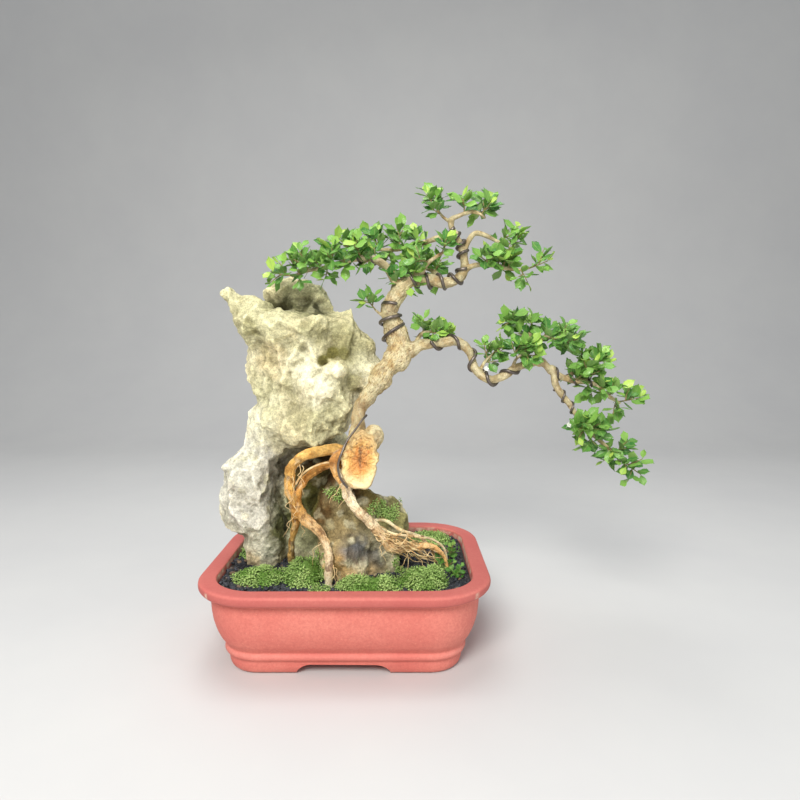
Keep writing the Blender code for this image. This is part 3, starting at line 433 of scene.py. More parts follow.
def clay_finish():
    f = Finish("clay")
    cloud = f.noise(14, 4, 0.6)
    base = f.mixed(f.ranged(cloud, 0.35, 0.65), srgb(214, 116, 104), srgb(228, 138, 122))
    fine = f.noise(420, 3, 0.7)
    base = f.mixed(f.ranged(fine, 0.35, 0.7, 0.0, 0.5), base, srgb(196, 98, 86))
    spots = f.node("TexVoronoi", {"Scale": 260.0, "Vector": f.place}).outputs["Distance"]
    pale = f.ranged(spots, 0.16, 0.05)
    base = f.mixed(f.calc("MULTIPLY", pale, 0.35), base, srgb(232, 170, 150))
    worn = f.number("worn")
    base = f.mixed(f.calc("MULTIPLY", worn, 0.55), base, srgb(230, 164, 150))
    base = f.mixed(f.number("lip"), base, srgb(172, 82, 80))
    scale_line = f.number("scale")
    gaps = f.ranged(f.noise(90, 4, 0.6), 0.38, 0.6)
    ragged = f.calc("MULTIPLY", scale_line, gaps)
    base = f.mixed(ragged, base, srgb(226, 200, 176))
    f.coat(base, 0.72, 0.35)
    grain = f.noise(900, 4, 0.65)
    dimples = f.noise(130, 2, 0.5)
    height = f.calc("ADD", f.calc("MULTIPLY", grain, 0.35), dimples)
    f.bump(height, 0.0006, 0.55)
    return f.made


def stone_finish():
    f = Finish("stone")
    tint = f.node("Attribute", attribute_name="tint").outputs["Color"]
    hollow = f.number("hollow")
    grain = f.noise(160, 5, 0.65)
    base = f.mixed(1.0, tint, f.ranged(grain, 0.3, 0.7, 0.76, 1.28), "MULTIPLY")
    specks = f.noise(620, 3, 0.7)
    base = f.mixed(1.0, base, f.ranged(specks, 0.3, 0.7, 0.70, 1.32), "MULTIPLY")
    blots = f.noise(60, 4, 0.7)
    dark = f.ranged(blots, 0.56, 0.72, 0.0, 0.45)
    base = f.mixed(dark, base, srgb(164, 154, 116), "MULTIPLY")
    # Painted shade darkens the stone's hollows and a painted highlight lightens its crests, both from the
    # curvature in hollow
    shade = f.ranged(hollow, 0.15, 0.95, 0.0, 0.72)
    base = f.mixed(shade, base, srgb(104, 96, 60), "MULTIPLY")
    base = f.mixed(1.0, base, f.ranged(hollow, 0.1, -0.8, 1.0, 1.45), "MULTIPLY")
    f.coat(base, 0.95, 0.2)
    pits = f.node("TexVoronoi", {"Scale": 300.0, "Vector": f.place}).outputs["Distance"]
    sand = f.noise(380, 5, 0.75)
    height = f.calc("ADD", f.calc("MULTIPLY", pits, 0.5), sand)
    f.bump(height, 0.0022, 0.85)
    return f.made


def bark_finish():
    f = Finish("bark")
    tint = f.node("Attribute", attribute_name="tint").outputs["Color"]
    hollow = f.number("hollow")
    fleck = f.noise(520, 4, 0.7)
    base = f.mixed(1.0, tint, f.ranged(fleck, 0.3, 0.7, 0.66, 1.36), "MULTIPLY")
    stain = f.noise(130, 4, 0.6)
    base = f.mixed(f.ranged(stain, 0.42, 0.72, 0.0, 0.7), base, srgb(190, 160, 116), "MULTIPLY")
    # Painted shade: the bark's cracks and hollows are darkened brown from the curvature in hollow
    base = f.mixed(f.ranged(hollow, 0.05, 1.1, 0.0, 0.9), base, srgb(150, 100, 56), "MULTIPLY")
    f.coat(base, 0.82, 0.3)
    crust = f.noise(1400, 4, 0.7)
    f.bump(crust, 0.0005, 0.7)
    return f.made


def wood_face_finish():
    """The saw cut: sapwood to heart, with fine rings and ray cracks."""
    f = Finish("saw_cut")
    tint = f.node("Attribute", attribute_name="tint").outputs["Color"]
    rings = f.calc("SINE", f.calc("MULTIPLY", f.number("ring"), 95.0))
    base = f.mixed(f.ranged(rings, -1.0, 1.0, 0.0, 0.12), tint, srgb(170, 104, 46), "MULTIPLY")
    splash = f.noise(150, 5, 0.7)
    burnt = f.ranged(splash, 0.52, 0.70, 0.0, 0.62)
    base = f.mixed(burnt, base, srgb(212, 124, 46), "MULTIPLY")
    fibre = f.noise(650, 4, 0.7)
    base = f.mixed(f.ranged(fibre, 0.35, 0.7, 0.0, 0.35), base, srgb(250, 226, 160))
    f.coat(base, 0.7)
    f.bump(f.calc("ADD", fibre, f.calc("MULTIPLY", rings, 0.2)), 0.0005, 0.6)
    return f.made


def leaf_finish(name, dark, light, young, shine):
    f = Finish(name)
    tone, rib, side = f.number("tone"), f.number("rib"), f.number("side")
    base = f.mixed(f.ranged(tone, 0.05, 0.7), dark, light)
    base = f.mixed(f.ranged(tone, 0.75, 1.0), base, young)
    mottle = f.noise(300, 3, 0.6)
    base = f.mixed(f.ranged(mottle, 0.35, 0.7, 0.0, 0.35), base, light)
    base = f.mixed(f.ranged(rib, 0.16, 0.03, 0.0, 0.5), base, srgb(178, 206, 120))
    base = f.mixed(f.calc("MULTIPLY", side, 0.55), base, srgb(150, 178, 110))
    f.coat(base, shine, 0.6)
    f.light_through(base, 0.30)
    veins = f.calc("SINE", f.number("vein"))
    height = f.calc("ADD", f.calc("MULTIPLY", veins, 0.5), f.calc("MULTIPLY", mottle, 0.6))
    f.bump(height, 0.0003, 0.5)
    return f.made


def simple_finish(name, colour, other, roughness, scale, metallic=0.0, depth=0.0004):
    """Two colours clouded together, with a fine bump."""
    f = Finish(name)
    cloud = f.noise(scale, 4, 0.65)
    base = f.mixed(f.ranged(cloud, 0.35, 0.65), colour, other)
    f.coat(base, roughness)
    f.shader.inputs["Metallic"].default_value = metallic
    f.bump(f.noise(scale * 3, 4, 0.65), depth, 0.6)
    return f.made


def grain_finish():
    """Black crushed granules, some with a grey or brown face."""
    f = Finish("granules")
    tone = f.number("tone")
    base = f.mixed(f.ranged(tone, 0.0, 0.9), srgb(24, 26, 30), srgb(60, 63, 70))
    base = f.mixed(f.ranged(tone, 0.93, 0.97), base, srgb(128, 104, 78))
    f.coat(base, 0.55)
    f.bump(f.noise(1500, 4, 0.7), 0.0004, 0.8)
    return f.made


def moss_finish():
    f = Finish("moss")
    tone, tip = f.number("tone"), f.number("tip")
    low = f.mixed(tone, srgb(70, 100, 38), srgb(132, 172, 72))
    high = f.mixed(tone, srgb(138, 186, 78), srgb(226, 252, 160))
    base = f.mixed(tip, low, high)
    f.coat(base, 0.75, 0.3)
    f.light_through(base, 0.15)
    return f.made


# ---------------------------------------------------------------- pot

POT_LENGTH, POT_WIDTH = pot_high.x - pot_low.x, pot_high.y - pot_low.y
POT_HEIGHT = pot_high.z
# From the rim's outer edge to the soil, a little short of the pot's inner wall
SOIL_INSET = 0.0185
CORNER_RADIUS = 0.055
CORNER_STEPS = 26
FOOT_HEIGHT = 0.010
FLOOR_TOP = 0.018
# (inset from the rim's outer edge, height) in millimetres, from the underside round to the inner floor
POT_PROFILE = (
    (44, 10), (43, 1.0), (42, 0.2), (31, 0), (28, 1.0), (26, 4), (25.4, 8.5), (25.4, 12), (24, 13.6),
    (22, 15), (21.6, 17.4), (22.2, 19), (23.6, 20.5), (21.8, 23.2), (18, 28), (14.3, 36), (11.9, 45),
    (10.7, 55), (10.5, 63), (11.2, 68), (9.5, 69.3), (3.5, 70), (1.2, 71.4), (0.1, 73.6), (0, 77),
    (0.8, 79), (2.8, 80), (8, 79.8), (14.4, 80), (15.6, 79.4), (16, 78), (17, 70.2), (18.5, 60),
    (22, 45.6), (28, 31.2), (34, 23.4), (40, 18.6), (44, 18),
)


def outline(inset, z):
    """The pot's rounded rectangle, that far inside the rim's outer edge."""
    half_x, half_y = POT_LENGTH / 2 - inset, POT_WIDTH / 2 - inset
    radius = max(CORNER_RADIUS - inset, 0.008)
    points = []
    for corner, (sx, sy) in enumerate(((1, 1), (-1, 1), (-1, -1), (1, -1))):
        for step in range(CORNER_STEPS + 1):
            turn = math.pi / 2 * (corner + step / CORNER_STEPS)
            x = sx * (half_x - radius) + radius * math.cos(turn)
            y = sy * (half_y - radius) + radius * math.sin(turn)
            points.append(POT_MIDDLE + Vector((x, y, z)))
    return points


def corners_cut(profile, most):
    """The line with each corner replaced by two points, no further than most from it."""
    made = [profile[0]]
    for a, b, c in zip(profile, profile[1:], profile[2:]):
        for other in (a, c):
            away = np.subtract(other, b)
            length = np.linalg.norm(away)
            made.append(tuple(np.add(b, away / length * min(0.3 * length, most))))
    return [*made, profile[-1]]


def ring_loft(rings, name):
    """A closed solid through rings of equally many points."""
    bm = bmesh.new()
    rows = [[bm.verts.new(p) for p in ring] for ring in rings]
    count = len(rows[0])
    for low, high in zip(rows, rows[1:]):
        for i in range(count):
            j = (i + 1) % count
            bm.faces.new((low[i], low[j], high[j], high[i]))
    bm.faces.new(rows[0][::-1])
    bm.faces.new(rows[-1])
    bmesh.ops.recalc_face_normals(bm, faces=bm.faces)
    if bm.calc_volume(signed=True) < 0:
        bmesh.ops.reverse_faces(bm, faces=bm.faces)
    return mesh_of(bm, name)


def arch(width, along_y):
    shoulder, height = 0.014, FOOT_HEIGHT - 0.0005
    top = width / 2 - shoulder
    half = [(width / 2 + 0.002, -0.002), (width / 2, 0.0005)]
    for step in range(1, 13):
        turn = math.pi / 2 * step / 12
        half.append((top + shoulder * math.cos(turn), height * math.sin(turn)))
    section = half + [(-x, z) for x, z in reversed(half)]
    rings = []
    for side in (-0.2, 0.2):
        row = [Vector((x, side, z)) if along_y else Vector((side, x, z)) for x, z in section]
        rings.append([POT_MIDDLE + p for p in row])
    return ring_loft(rings, "arch")


def build_pot():
    profile = [(inset * MM, z * MM) for inset, z in POT_PROFILE]
    profile = corners_cut(corners_cut(profile, 0.0014), 0.0006)
    obj = helper_object(ring_loft([outline(inset, z) for inset, z in profile], "pot"))
    cutters = [helper_object(arch(0.082, True)), helper_object(arch(0.064, False))]
    for side in (-0.045, 0.045):
        bm = bmesh.new()
        middle = POT_MIDDLE + Vector((side, 0, FLOOR_TOP))
        bmesh.ops.create_cone(
            bm, cap_ends=True, segments=48, radius1=0.008, radius2=0.008, depth=0.03,
            matrix=Matrix.Translation(middle),
        )
        cutters.append(helper_object(mesh_of(bm, "hole")))
    for cutter in cutters:
        boolean = obj.modifiers.new("cut", "BOOLEAN")
        boolean.object = cutter
        boolean.solver = "EXACT"
    bevel = obj.modifiers.new("soft_edges", "BEVEL")
    bevel.width = 0.0009
    bevel.segments = 2
    bevel.angle_limit = math.radians(48)
    mesh = baked(obj)
    for cutter in cutters:
        bpy.data.objects.remove(cutter)
    co, normal = points_of(mesh), normals_of(mesh)
    outside = eased(co[:, 2], 0.003, 0.012)
    wave = 0.00035 * layered(co / 0.045, 2, 3) + 0.00012 * layered(co / 0.012, 2, 5)
    co = co + normal * (wave * outside)[:, None]
    set_points(mesh, co)
    up = normals_of(mesh)[:, 2]
    rim = eased(co[:, 2], POT_HEIGHT - 0.004, POT_HEIGHT - 0.0005) * np.clip(up, 0, 1)
    lip = eased(co[:, 2], 0.069, 0.072) * (1 - eased(co[:, 2], 0.077, 0.079))
    belt = np.exp(-(((co[:, 2] - 0.0185) / 0.002) ** 2))
    foot = 1 - eased(co[:, 2], 0.0, 0.006)
    worn = 0.10 * rim + 0.5 * belt + 0.7 * foot
    set_number(mesh, "lip", np.clip(0.6 * rim + 0.6 * lip, 0, 0.75))
    set_number(mesh, "worn", worn * (0.75 + 0.5 * soft_noise(co / 0.02, 8)))
    flat = np.abs(co[:, :2] - np.array(POT_MIDDLE)[:2])
    inside = (flat[:, 0] < POT_LENGTH / 2 - 0.0155) & (flat[:, 1] < POT_WIDTH / 2 - 0.0155)
    height = co[:, 2] + 0.0012 * soft_noise(co / 0.015, 4)
    line = eased(height, SOIL_TOP - 0.001, SOIL_TOP + 0.001) * (1 - eased(height, 0.0772, 0.0785))
    set_number(mesh, "scale", line * inside)
    piece = add_piece("clay_pot", mesh, clay_finish(), ["pot"])
    mesh.set_sharp_from_angle(angle=math.radians(50))
    return piece


# ---------------------------------------------------------------- rock

# (x, y, z) centre and radii in millimetres, then the tilt in degrees about Y
ROCK_LUMPS = (
    ((-42, 6, 193), (56, 40, 54), 0),
    ((-90, -8, 247), (22, 15, 16), 18),
    ((-108, -7, 254), (15, 10, 12), 32),
    ((-84, -12, 230), (18, 16, 24), 0),
    ((-56, -24, 226), (42, 17, 18), 0),
    ((-50, 20, 250), (36, 18, 23), 6),
    ((-8, 4, 217), (23, 28, 27), 20),
    ((13, 1, 210), (12, 14, 14), 0),
    ((9, -2, 182), (23, 25, 26), 0),
    ((-42, -6, 143), (48, 35, 32), 0),
    ((-30, -30, 168), (28, 12, 20), 0),
    ((-12, -26, 190), (16, 12, 11), 15),
    ((-76, 0, 127), (25, 29, 28), 0),
    ((-93, -8, 86), (25, 27, 30), 8),
    ((-97, -8, 55), (28, 25, 26), 0),
    ((-82, -6, 18), (20, 21, 34), 0),
    ((-36, 24, 76), (48, 24, 60), 0),
    ((-28, 26, 12), (56, 30, 34), 0),
    ((8, -10, 32), (37, 34, 44), 30),
    ((-1, -32, 8), (24, 25, 36), 0),
    ((36, -4, 24), (23, 26, 32), 20),
    ((43, 2, 46), (13, 16, 17), 0),
    ((-8, -20, 66), (20, 19, 40), 18),
    ((16, -22, 56), (22, 20, 24), 30),
    ((-4, -6, 152), (15, 24, 22), 0),
    ((30, -24, 10), (21, 21, 24), 0),
)
# Hollows (depth above 0) and swellings (below 0): (x, y, z), radius and depth in millimetres
DENTS = (
    ((-66, -2, 250), 16, 8), ((-42, -2, 252), 15, 8), ((-24, -4, 248), 12, 6),
    ((-50, -28, 97), 16, 13), ((-52, -24, 72), 15, 12), ((-36, -32, 84), 15, 10), ((-58, -20, 50), 13, 8),
    ((-26, -36, 104), 12, 8), ((-48, -34, 112), 11, -5), ((-24, -38, 120), 12, -5),
    ((-8, -30, 214), 17, 8), ((-30, -38, 222), 12, 4), ((-8, -34, 189), 9, -9),
    ((-20, -36, 198), 8, 8), ((-10, -36, 206), 8, 7), ((-66, -38, 196), 22, 6), ((-40, -42, 150), 15, 5),
    ((-84, -26, 165), 18, 7), ((-62, -34, 118), 12, 5), ((-101, -34, 102), 14, 5),
    ((-80, -34, 60), 13, 4), ((-108, -26, 70), 10, -3), ((-70, -40, 222), 12, 4),
    ((-46, -42, 232), 14, -4), ((12, -22, 168), 12, 5), ((-10, -40, 158), 13, 5),
    ((20, -40, 24), 11, 4), ((-6, -56, 22), 12, -3), ((44, -24, 22), 10, 3),
    ((-60, 44, 200), 26, 8), ((-20, 46, 160), 24, 8), ((-50, 48, 100), 22, -6),
    ((-10, 46, 70), 18, 7), ((-80, 30, 140), 18, 7), ((-30, 50, 240), 16, -5),
)
# Stains on the stone, with painted shade in the gap under the back lobe, in the cave and between the
# roots: (x, y, z) and radius in millimetres, colour, strength
OLIVE, OLIVE_GAP_SHADE_AND_DIRT, TAN = srgb(128, 124, 78), srgb(96, 94, 74), srgb(232, 200, 148)
GAP_SHADE_AND_DIRT, CAVE_STAIN_AND_SHADE, DAMP = srgb(50, 50, 44), srgb(52, 30, 13), srgb(104, 98, 46)
MOSSY, GREY = srgb(104, 118, 56), srgb(212, 208, 194)
STAINS = (
    # The near-black and dark olive colours at z 243 to 250 are painted shade with dirt, in the gap
    # between the front ridge and the back lobe
    ((-74, 5, 247), 8, GAP_SHADE_AND_DIRT, 0.95), ((-60, 5, 247), 9, GAP_SHADE_AND_DIRT, 0.97), ((-44, 5, 246), 9, GAP_SHADE_AND_DIRT, 0.97),
    ((-30, 5, 243), 9, GAP_SHADE_AND_DIRT, 0.9), ((-84, 3, 250), 6, OLIVE_GAP_SHADE_AND_DIRT, 0.8),
    ((-6, -32, 218), 14, OLIVE, 0.5), ((-30, -38, 224), 9, OLIVE, 0.4),
    ((-20, -24, 196), 6, DAMP, 0.95), ((-13, -24, 204), 6, DAMP, 0.95), ((-2, -24, 203), 6, DAMP, 0.8),
    ((-40, -44, 150), 12, OLIVE, 0.35), ((-62, -36, 118), 10, OLIVE, 0.4), ((8, -20, 176), 9, DAMP, 0.7),
    ((-70, -38, 196), 14, TAN, 0.3), ((-50, -38, 172), 9, DAMP, 0.4), ((-86, -20, 226), 8, OLIVE, 0.5),
    ((-96, -20, 80), 46, GREY, 0.8), ((-96, -20, 30), 34, GREY, 0.6), ((-92, -26, 10), 9, TAN, 0.6),
    ((-16, -30, 66), 40, srgb(132, 118, 78), 0.95), ((20, -30, 40), 42, srgb(138, 126, 88), 0.9),
    # The dark browns in the cave and between the roots are the cave's brown staining with painted shade
    # over it
    ((-50, -14, 84), 19, CAVE_STAIN_AND_SHADE, 1.0), ((-38, -14, 100), 20, CAVE_STAIN_AND_SHADE, 1.0), ((-20, -14, 100), 18, CAVE_STAIN_AND_SHADE, 1.0),
    ((-56, -14, 62), 15, CAVE_STAIN_AND_SHADE, 1.0), ((-34, -14, 78), 18, srgb(70, 46, 24), 1.0),
    ((-58, -14, 36), 15, CAVE_STAIN_AND_SHADE, 0.9), ((-26, -20, 56), 16, srgb(96, 72, 40), 0.95),
    ((12, -30, 84), 15, srgb(78, 54, 28), 0.97), ((-2, -30, 92), 12, srgb(78, 54, 28), 0.97),
    ((-46, -30, 50), 12, CAVE_STAIN_AND_SHADE, 0.9), ((26, -30, 68), 15, srgb(124, 108, 60), 0.9),
    ((-6, -40, 40), 13, srgb(160, 140, 96), 0.8), ((8, -46, 24), 15, srgb(96, 98, 100), 0.95),
    ((24, -40, 18), 13, srgb(108, 106, 98), 0.9), ((-8, -56, 8), 18, srgb(188, 154, 100), 0.9),
    ((14, -50, 2), 13, TAN, 0.85), ((40, -28, 56), 16, OLIVE, 0.85), ((54, -14, 46), 14, OLIVE, 0.8),
    ((-60, 40, 230), 34, OLIVE, 0.4), ((-20, 46, 150), 30, OLIVE, 0.4), ((-40, 50, 40), 40, MOSSY, 0.4),
    ((-100, 10, 30), 26, OLIVE, 0.4), ((10, 30, 200), 22, OLIVE, 0.35),
)


def near_to(co, place, radius):
    """1 at the place, easing to 0 at that distance. Both in millimetres."""
    far = np.linalg.norm(co - np.array(planted(*place)), axis=1) / (radius * MM)
    return np.exp(-2.2 * far * far)


def rock_form():
    """The stone at its full size, with its scoops, crests and dents but without the fine grain."""
    bm = bmesh.new()
    for centre, radii, tilt in ROCK_LUMPS:
        add_lump(bm, centre, radii, tilt, 5)
    mesh = one_skin(mesh_of(bm, "lumps"), 0.0026)
    co = relaxed(mesh, points_of(mesh), 8)
    set_points(mesh, co)
    normal = normals_of(mesh)
    bare = eased(co[:, 2], SOIL_TOP - 0.012, SOIL_TOP + 0.016)
    bend = np.stack([layered(co / 0.05, 2, seed) for seed in (21, 22, 23)], axis=1) * 0.010
    flow = (co + bend) / np.array([0.034, 0.034, 0.050])
    scoop, second = cells(flow, 5)
    crests = ridged((co + bend) / 0.042, 3, 31)
    push = 0.0085 * (scoop - 0.62) + 0.0085 * (crests - 0.74)
    push += 0.0022 * np.clip(0.12 - (second - scoop), 0, 0.12) / 0.12
    small, _ = cells((co + 0.4 * bend) / 0.0145, 9)
    push += 0.0018 * (small - 0.55)
    push += 0.0022 * layered(co / 0.016, 3, 41)
    for place, radius, depth in DENTS:
        push -= near_to(co, place, radius) * depth * MM
    set_points(mesh, co + normal * (push * bare)[:, None])
    return one_skin(mesh, ROCK_VOXEL)


def rock_tint(co):
    """The stone's colour at each point: warm and pale patches, then the stains and the painted shade in
    the gap, the cave and between the roots, then damp below.
    """
    warm = eased(layered(co / 0.03, 3, 52), -0.1, 0.9)
    patch = eased(layered(co / 0.05, 3, 51), -0.5, 0.5)
    tint = blended(srgb(204, 198, 156), srgb(238, 232, 198), patch)
    tint = blended(tint, srgb(222, 206, 162), 0.4 * warm)
    ragged = np.clip(0.70 + 0.75 * layered(co / 0.010, 3, 53), 0.22, 1.4)
    for place, radius, colour, strength in STAINS:
        away = (co - np.array(planted(*place))) * np.array([1.0, 0.4, 1.0]) / (radius * MM)
        faces_it = eased(-co[:, 1] if place[1] < 0 else co[:, 1], -0.032, -0.016)
        near = np.exp(-1.6 * dots(away, away)) * faces_it
        tint = blended(tint, colour, np.clip(near * 2.6 * ragged, 0, strength))
    damp = 1 - eased(co[:, 2], SOIL_TOP, SOIL_TOP + 0.012 + 0.008 * soft_noise(co / 0.02, 54))
    return blended(tint, srgb(112, 92, 54), 0.5 * damp)


def build_rock():
    mesh = rock_form()
    co = relaxed(mesh, points_of(mesh), 2)
    set_points(mesh, co)
    normal = normals_of(mesh)
    broad = dots(relaxed(mesh, co, 40) - co, normal) / 0.0016
    pits, _ = cells(co / 0.0058, 14)
    tiny, _ = cells(co / 0.0026, 15)
    rough = 0.6 + 0.4 * soft_noise(co / 0.03, 16)
    push = rough * (0.0014 * (pits - 0.6) + 0.0008 * (tiny - 0.6)) + 0.0008 * layered(co / 0.005, 3, 17)
    push += 0.0008 * (ridged(co / 0.0095, 3, 18) - 0.7)
    co = co + normal * push[:, None]
    low = POT_MIDDLE.z + SOIL_TOP - 0.0145
    co[:, 2] = np.maximum(co[:, 2], low)
    set_points(mesh, co)
    fine = dots(relaxed(mesh, co, 6) - co, normals_of(mesh)) / 0.0005
    hollow = 0.6 * np.clip(broad, -1.2, 1.2) + 0.4 * np.clip(fine, -1.2, 1.2)
    set_tint(mesh, rock_tint(co))
    set_number(mesh, "hollow", hollow)
    return add_piece("limestone", mesh, stone_finish(), ["rock"])


# ---------------------------------------------------------------- tree

TRUNK = (
    (10, -36, 121, 9), (10, -31, 136, 7.5), (13, -27, 152, 6.2), (23, -22, 166, 7.4),
    (33, -18, 181, 9.6), (43, -15, 194, 11.8), (49, -12, 207, 11.6), (45, -11, 219, 10.5),
    (41, -10, 229, 9), (40, -10, 239, 8), (43, -9, 249, 7.5), (47, -9, 259, 7),
    (55, -9, 267, 5.9), (67, -9, 270, 5.2), (82, -9, 269, 5.3), (95, -8, 269, 5.2),
    (105, -8, 274, 4.6), (108, -8, 283, 4.1), (107, -8, 293, 3.6), (105, -7, 303, 3.3),
    (100, -7, 311, 3), (96, -7, 318, 2.7), (96, -7, 325, 2.4), (104, -7, 329, 2),
    (114, -8, 332, 1.9), (122, -8, 330, 1.6), (127, -8, 326, 1.2),
)
CASCADE = (
    (48, -13, 203, 8), (60, -13, 206, 6.6), (72, -14, 211, 5.2), (89, -15, 213, 4.4),
    (103, -16, 214, 4), (113, -16, 204, 3.8), (118, -17, 190, 3.7), (130, -18, 179, 3.7),
    (143, -18, 181, 3.6), (154, -19, 189, 3.6), (168, -19, 193, 3.6), (178, -20, 196, 3.6),
    (186, -20, 189, 3.4), (197, -20, 182, 3.1), (211, -20, 178, 2.7), (225, -20, 176, 2.3),
    (240, -20, 165, 2), (252, -20, 157, 1.3),
)
BRANCHES = {
    "trunk": TRUNK,
    "cascade": CASCADE,
    "fork": (
        (188, -20, 188, 3.2), (193, -22, 172, 3), (203, -24, 158, 2.7), (214, -25, 143, 2.3),
        (228, -25, 127, 2), (243, -24, 115, 1.6), (257, -23, 104, 1.1),
    ),
    "left_low": (
        (47, -9, 262, 4.6), (42, -8, 273, 4), (35, -8, 283, 3.6), (22, -9, 289, 3.2),
        (3, -10, 288, 2.8), (-16, -11, 282, 2.3), (-36, -12, 278, 1.8), (-50, -13, 273, 1.2),
    ),
    "left_high": (
        (100, -7, 311, 2.8), (86, -2, 310, 2.7), (74, 3, 307, 2.4), (50, 8, 301, 2),
        (26, 11, 300, 1.6), (6, 12, 298, 1.1),
    ),
    "centre": ((67, -9, 271, 3), (71, -15, 281, 2.4), (80, -20, 289, 1.8), (88, -22, 294, 1.2)),
    "back": ((84, -9, 269, 3.2), (84, 8, 276, 2.6), (79, 24, 283, 2), (70, 38, 286, 1.3)),
    "right_high": (
        (107, -8, 295, 2.8), (112, -7, 307, 2.5), (118, -6, 313, 2.3), (127, -6, 311, 2),
        (138, -6, 306, 1.7), (149, -6, 302, 1.1),
    ),
    "right_low": (
        (107, -8, 278, 3), (115, -12, 283, 2.6), (128, -15, 284, 2.2), (146, -17, 280, 1.8),
        (162, -18, 278, 1.1),
    ),
    "apex_left": ((96, -7, 323, 2), (89, -6, 327, 1.5), (83, -5, 334, 1)),
    "trunk_sprig": ((41, -10, 232, 1.8), (31, -12, 239, 1.3), (26, -14, 243, 1)),
    "base_sprig": ((62, -13, 207, 2.6), (68, -9, 220, 2), (80, -7, 223, 1.3)),
    "bend_sprig": ((122, -17, 186, 2), (128, -12, 196, 1.5), (135, -10, 202, 1)),
    "middle_sprig": ((152, -19, 188, 2), (154, -24, 197, 1.5), (160, -26, 203, 1)),
    "upper": ((177, -20, 195, 3), (173, -15, 211, 2.5), (169, -11, 222, 2), (160, -8, 231, 1.2)),
    "upper_right": ((173, -15, 211, 2), (183, -21, 218, 1.7), (194, -25, 214, 1.1)),
    "shoulder": ((204, -20, 180, 2.4), (213, -13, 191, 1.9), (226, -10, 193, 1.1)),
}
# Where a row says ON_ROCK, the root lies on the rock's face, which gives its y.
ON_ROCK = True
ROOTS = {
    "left": (
        (6, -38, 114, 5), (-6, -42, 116, 5.2), (-19, -46, 117, 5),
        (-35, -48, 114, 4.8), (-45, -47, 105, 4.6), (-49, -45, 95, 4.4),
        (-49, -43, 80, 4.4), (-46, -42, 66, 4.6), (-43, -43, 57, 4.4),
    ),
    "left_leg": (
        (-45, -42, 64, 3.6), (-47, -36, 47, 3.3), (-52, -26, 29, 3.2),
        (-54, -18, 14, 3), (-55, -12, 2, 2.8), (-55, -11, -10, 2.4),
    ),
    "front": (
        (-43, -42, 66, 4.6), (-38, -44, 56, 5), (-30, -48, 50, 4.6),
        (-21, -53, 42, 4.1), (-15, -58, 33, 3.8), (-13, -62, 24, 3.6),
        (-13, -65, 14, 3.3), (-13, -66, 0, 3.2), (-13, -65, -11, 3),
    ),
    "inner": (
        (6, -36, 103, 4.2), (-8, -38, 104, 4.2), (-21, -38, 101, 4),
        (-31, -38, 95, 3.9), (-38, -38, 88, 3.8), (-42, -39, 80, 3.8),
        (-43, -41, 71, 3.8), (-42, -42, 63, 3.6),
    ),
    "right_top": (
        (8, -36, 116, 4.6), (0, -42, 116, 4.5), (-8, -49, 111, 4.2),
        (-8, -52, 101, 4), (-4, -53, 92, 3.6),
    ),
    "right": (
        (-9, -51, 105, 3.6), (-5, -53, 95, 4.1), (1, -53, 84, 4.2),
        (7, -52, 71, 4.4), (14, -51, 61, 4.6), (23, -50, 51, 4.7),
        (31, -47, 42, 4.5), (38, -43, 31, 4.2), (46, -39, 25, 4),
        (56, -36, 24, 3.4), (67, -32, 26, 3), (77, -29, 25, 2.6),
        (86, -27, 19, 2.2), (92, -25, 9, 1.8), (94, -25, -8, 1.5),
    ),
    "fine_high": (
        (26, -45, 50, 1.9, ON_ROCK), (36, -40, 47, 1.7, ON_ROCK), (48, -34, 42, 1.6),
        (60, -28, 36, 1.5), (71, -23, 31, 1.4), (82, -18, 26, 1.4),
        (91, -14, 17, 1.3), (94, -12, 4, 1.2), (94, -12, -8, 1.2),
    ),
    "fine_low": (
        (30, -45, 44, 1.6, ON_ROCK), (42, -42, 41, 1.4), (54, -37, 37, 1.3),
        (67, -30, 33, 1.3), (77, -22, 22, 1.3), (82, -18, 8, 1.2),
        (82, -18, -8, 1.2),
    ),
}
BURL = (((13, -39, 110), (15.5, 7, 24), 0), ((24, -39, 128), (10, 7, 13), 25))
HUGS_ROCK = 0.7
# How far apart the rings of a branch's tube are, in metres
WOOD_STEP = 0.0022
CREAM_BARK, ORANGE, PALE_ROOT = srgb(208, 196, 154), srgb(226, 174, 94), srgb(250, 232, 188)
ROOT_TINTS = {
    "left": (srgb(232, 190, 110), ORANGE), "left_leg": (ORANGE, srgb(216, 184, 116)),
    "front": (srgb(226, 172, 90), srgb(255, 248, 216)), "inner": (srgb(206, 144, 72), ORANGE),
    # The top of the right root is tinted dark brown: its own colour darkened with painted shade, where it
    # lies in shadow
    "right_top": (srgb(186, 124, 62), srgb(224, 172, 104)),
    "right": (srgb(255, 244, 210), srgb(240, 186, 108)), "fine_high": (PALE_ROOT, PALE_ROOT),
    "fine_low": (PALE_ROOT, srgb(226, 190, 130)),
}


def on_rock(rock_faces, x, y, z, r):
    """That place brought to the rock's face as seen from the front."""
    place = planted(x, y, z)
    start = Vector((place.x, POT_MIDDLE.y - 0.2, place.z))
    hit = rock_faces.ray_cast(start, Vector((0, 1, 0)))[0]
    if hit:
        place.y = hit.y - HUGS_ROCK * r * MM
    return place


def root_path(rock_faces, points, step):
    row = []
    for x, y, z, r, *lies in points:
        place = on_rock(rock_faces, x, y, z, r) if lies else planted(x, y, z)
        row.append(Vector((*place, r * MM)))
    return smooth_path(row, step)


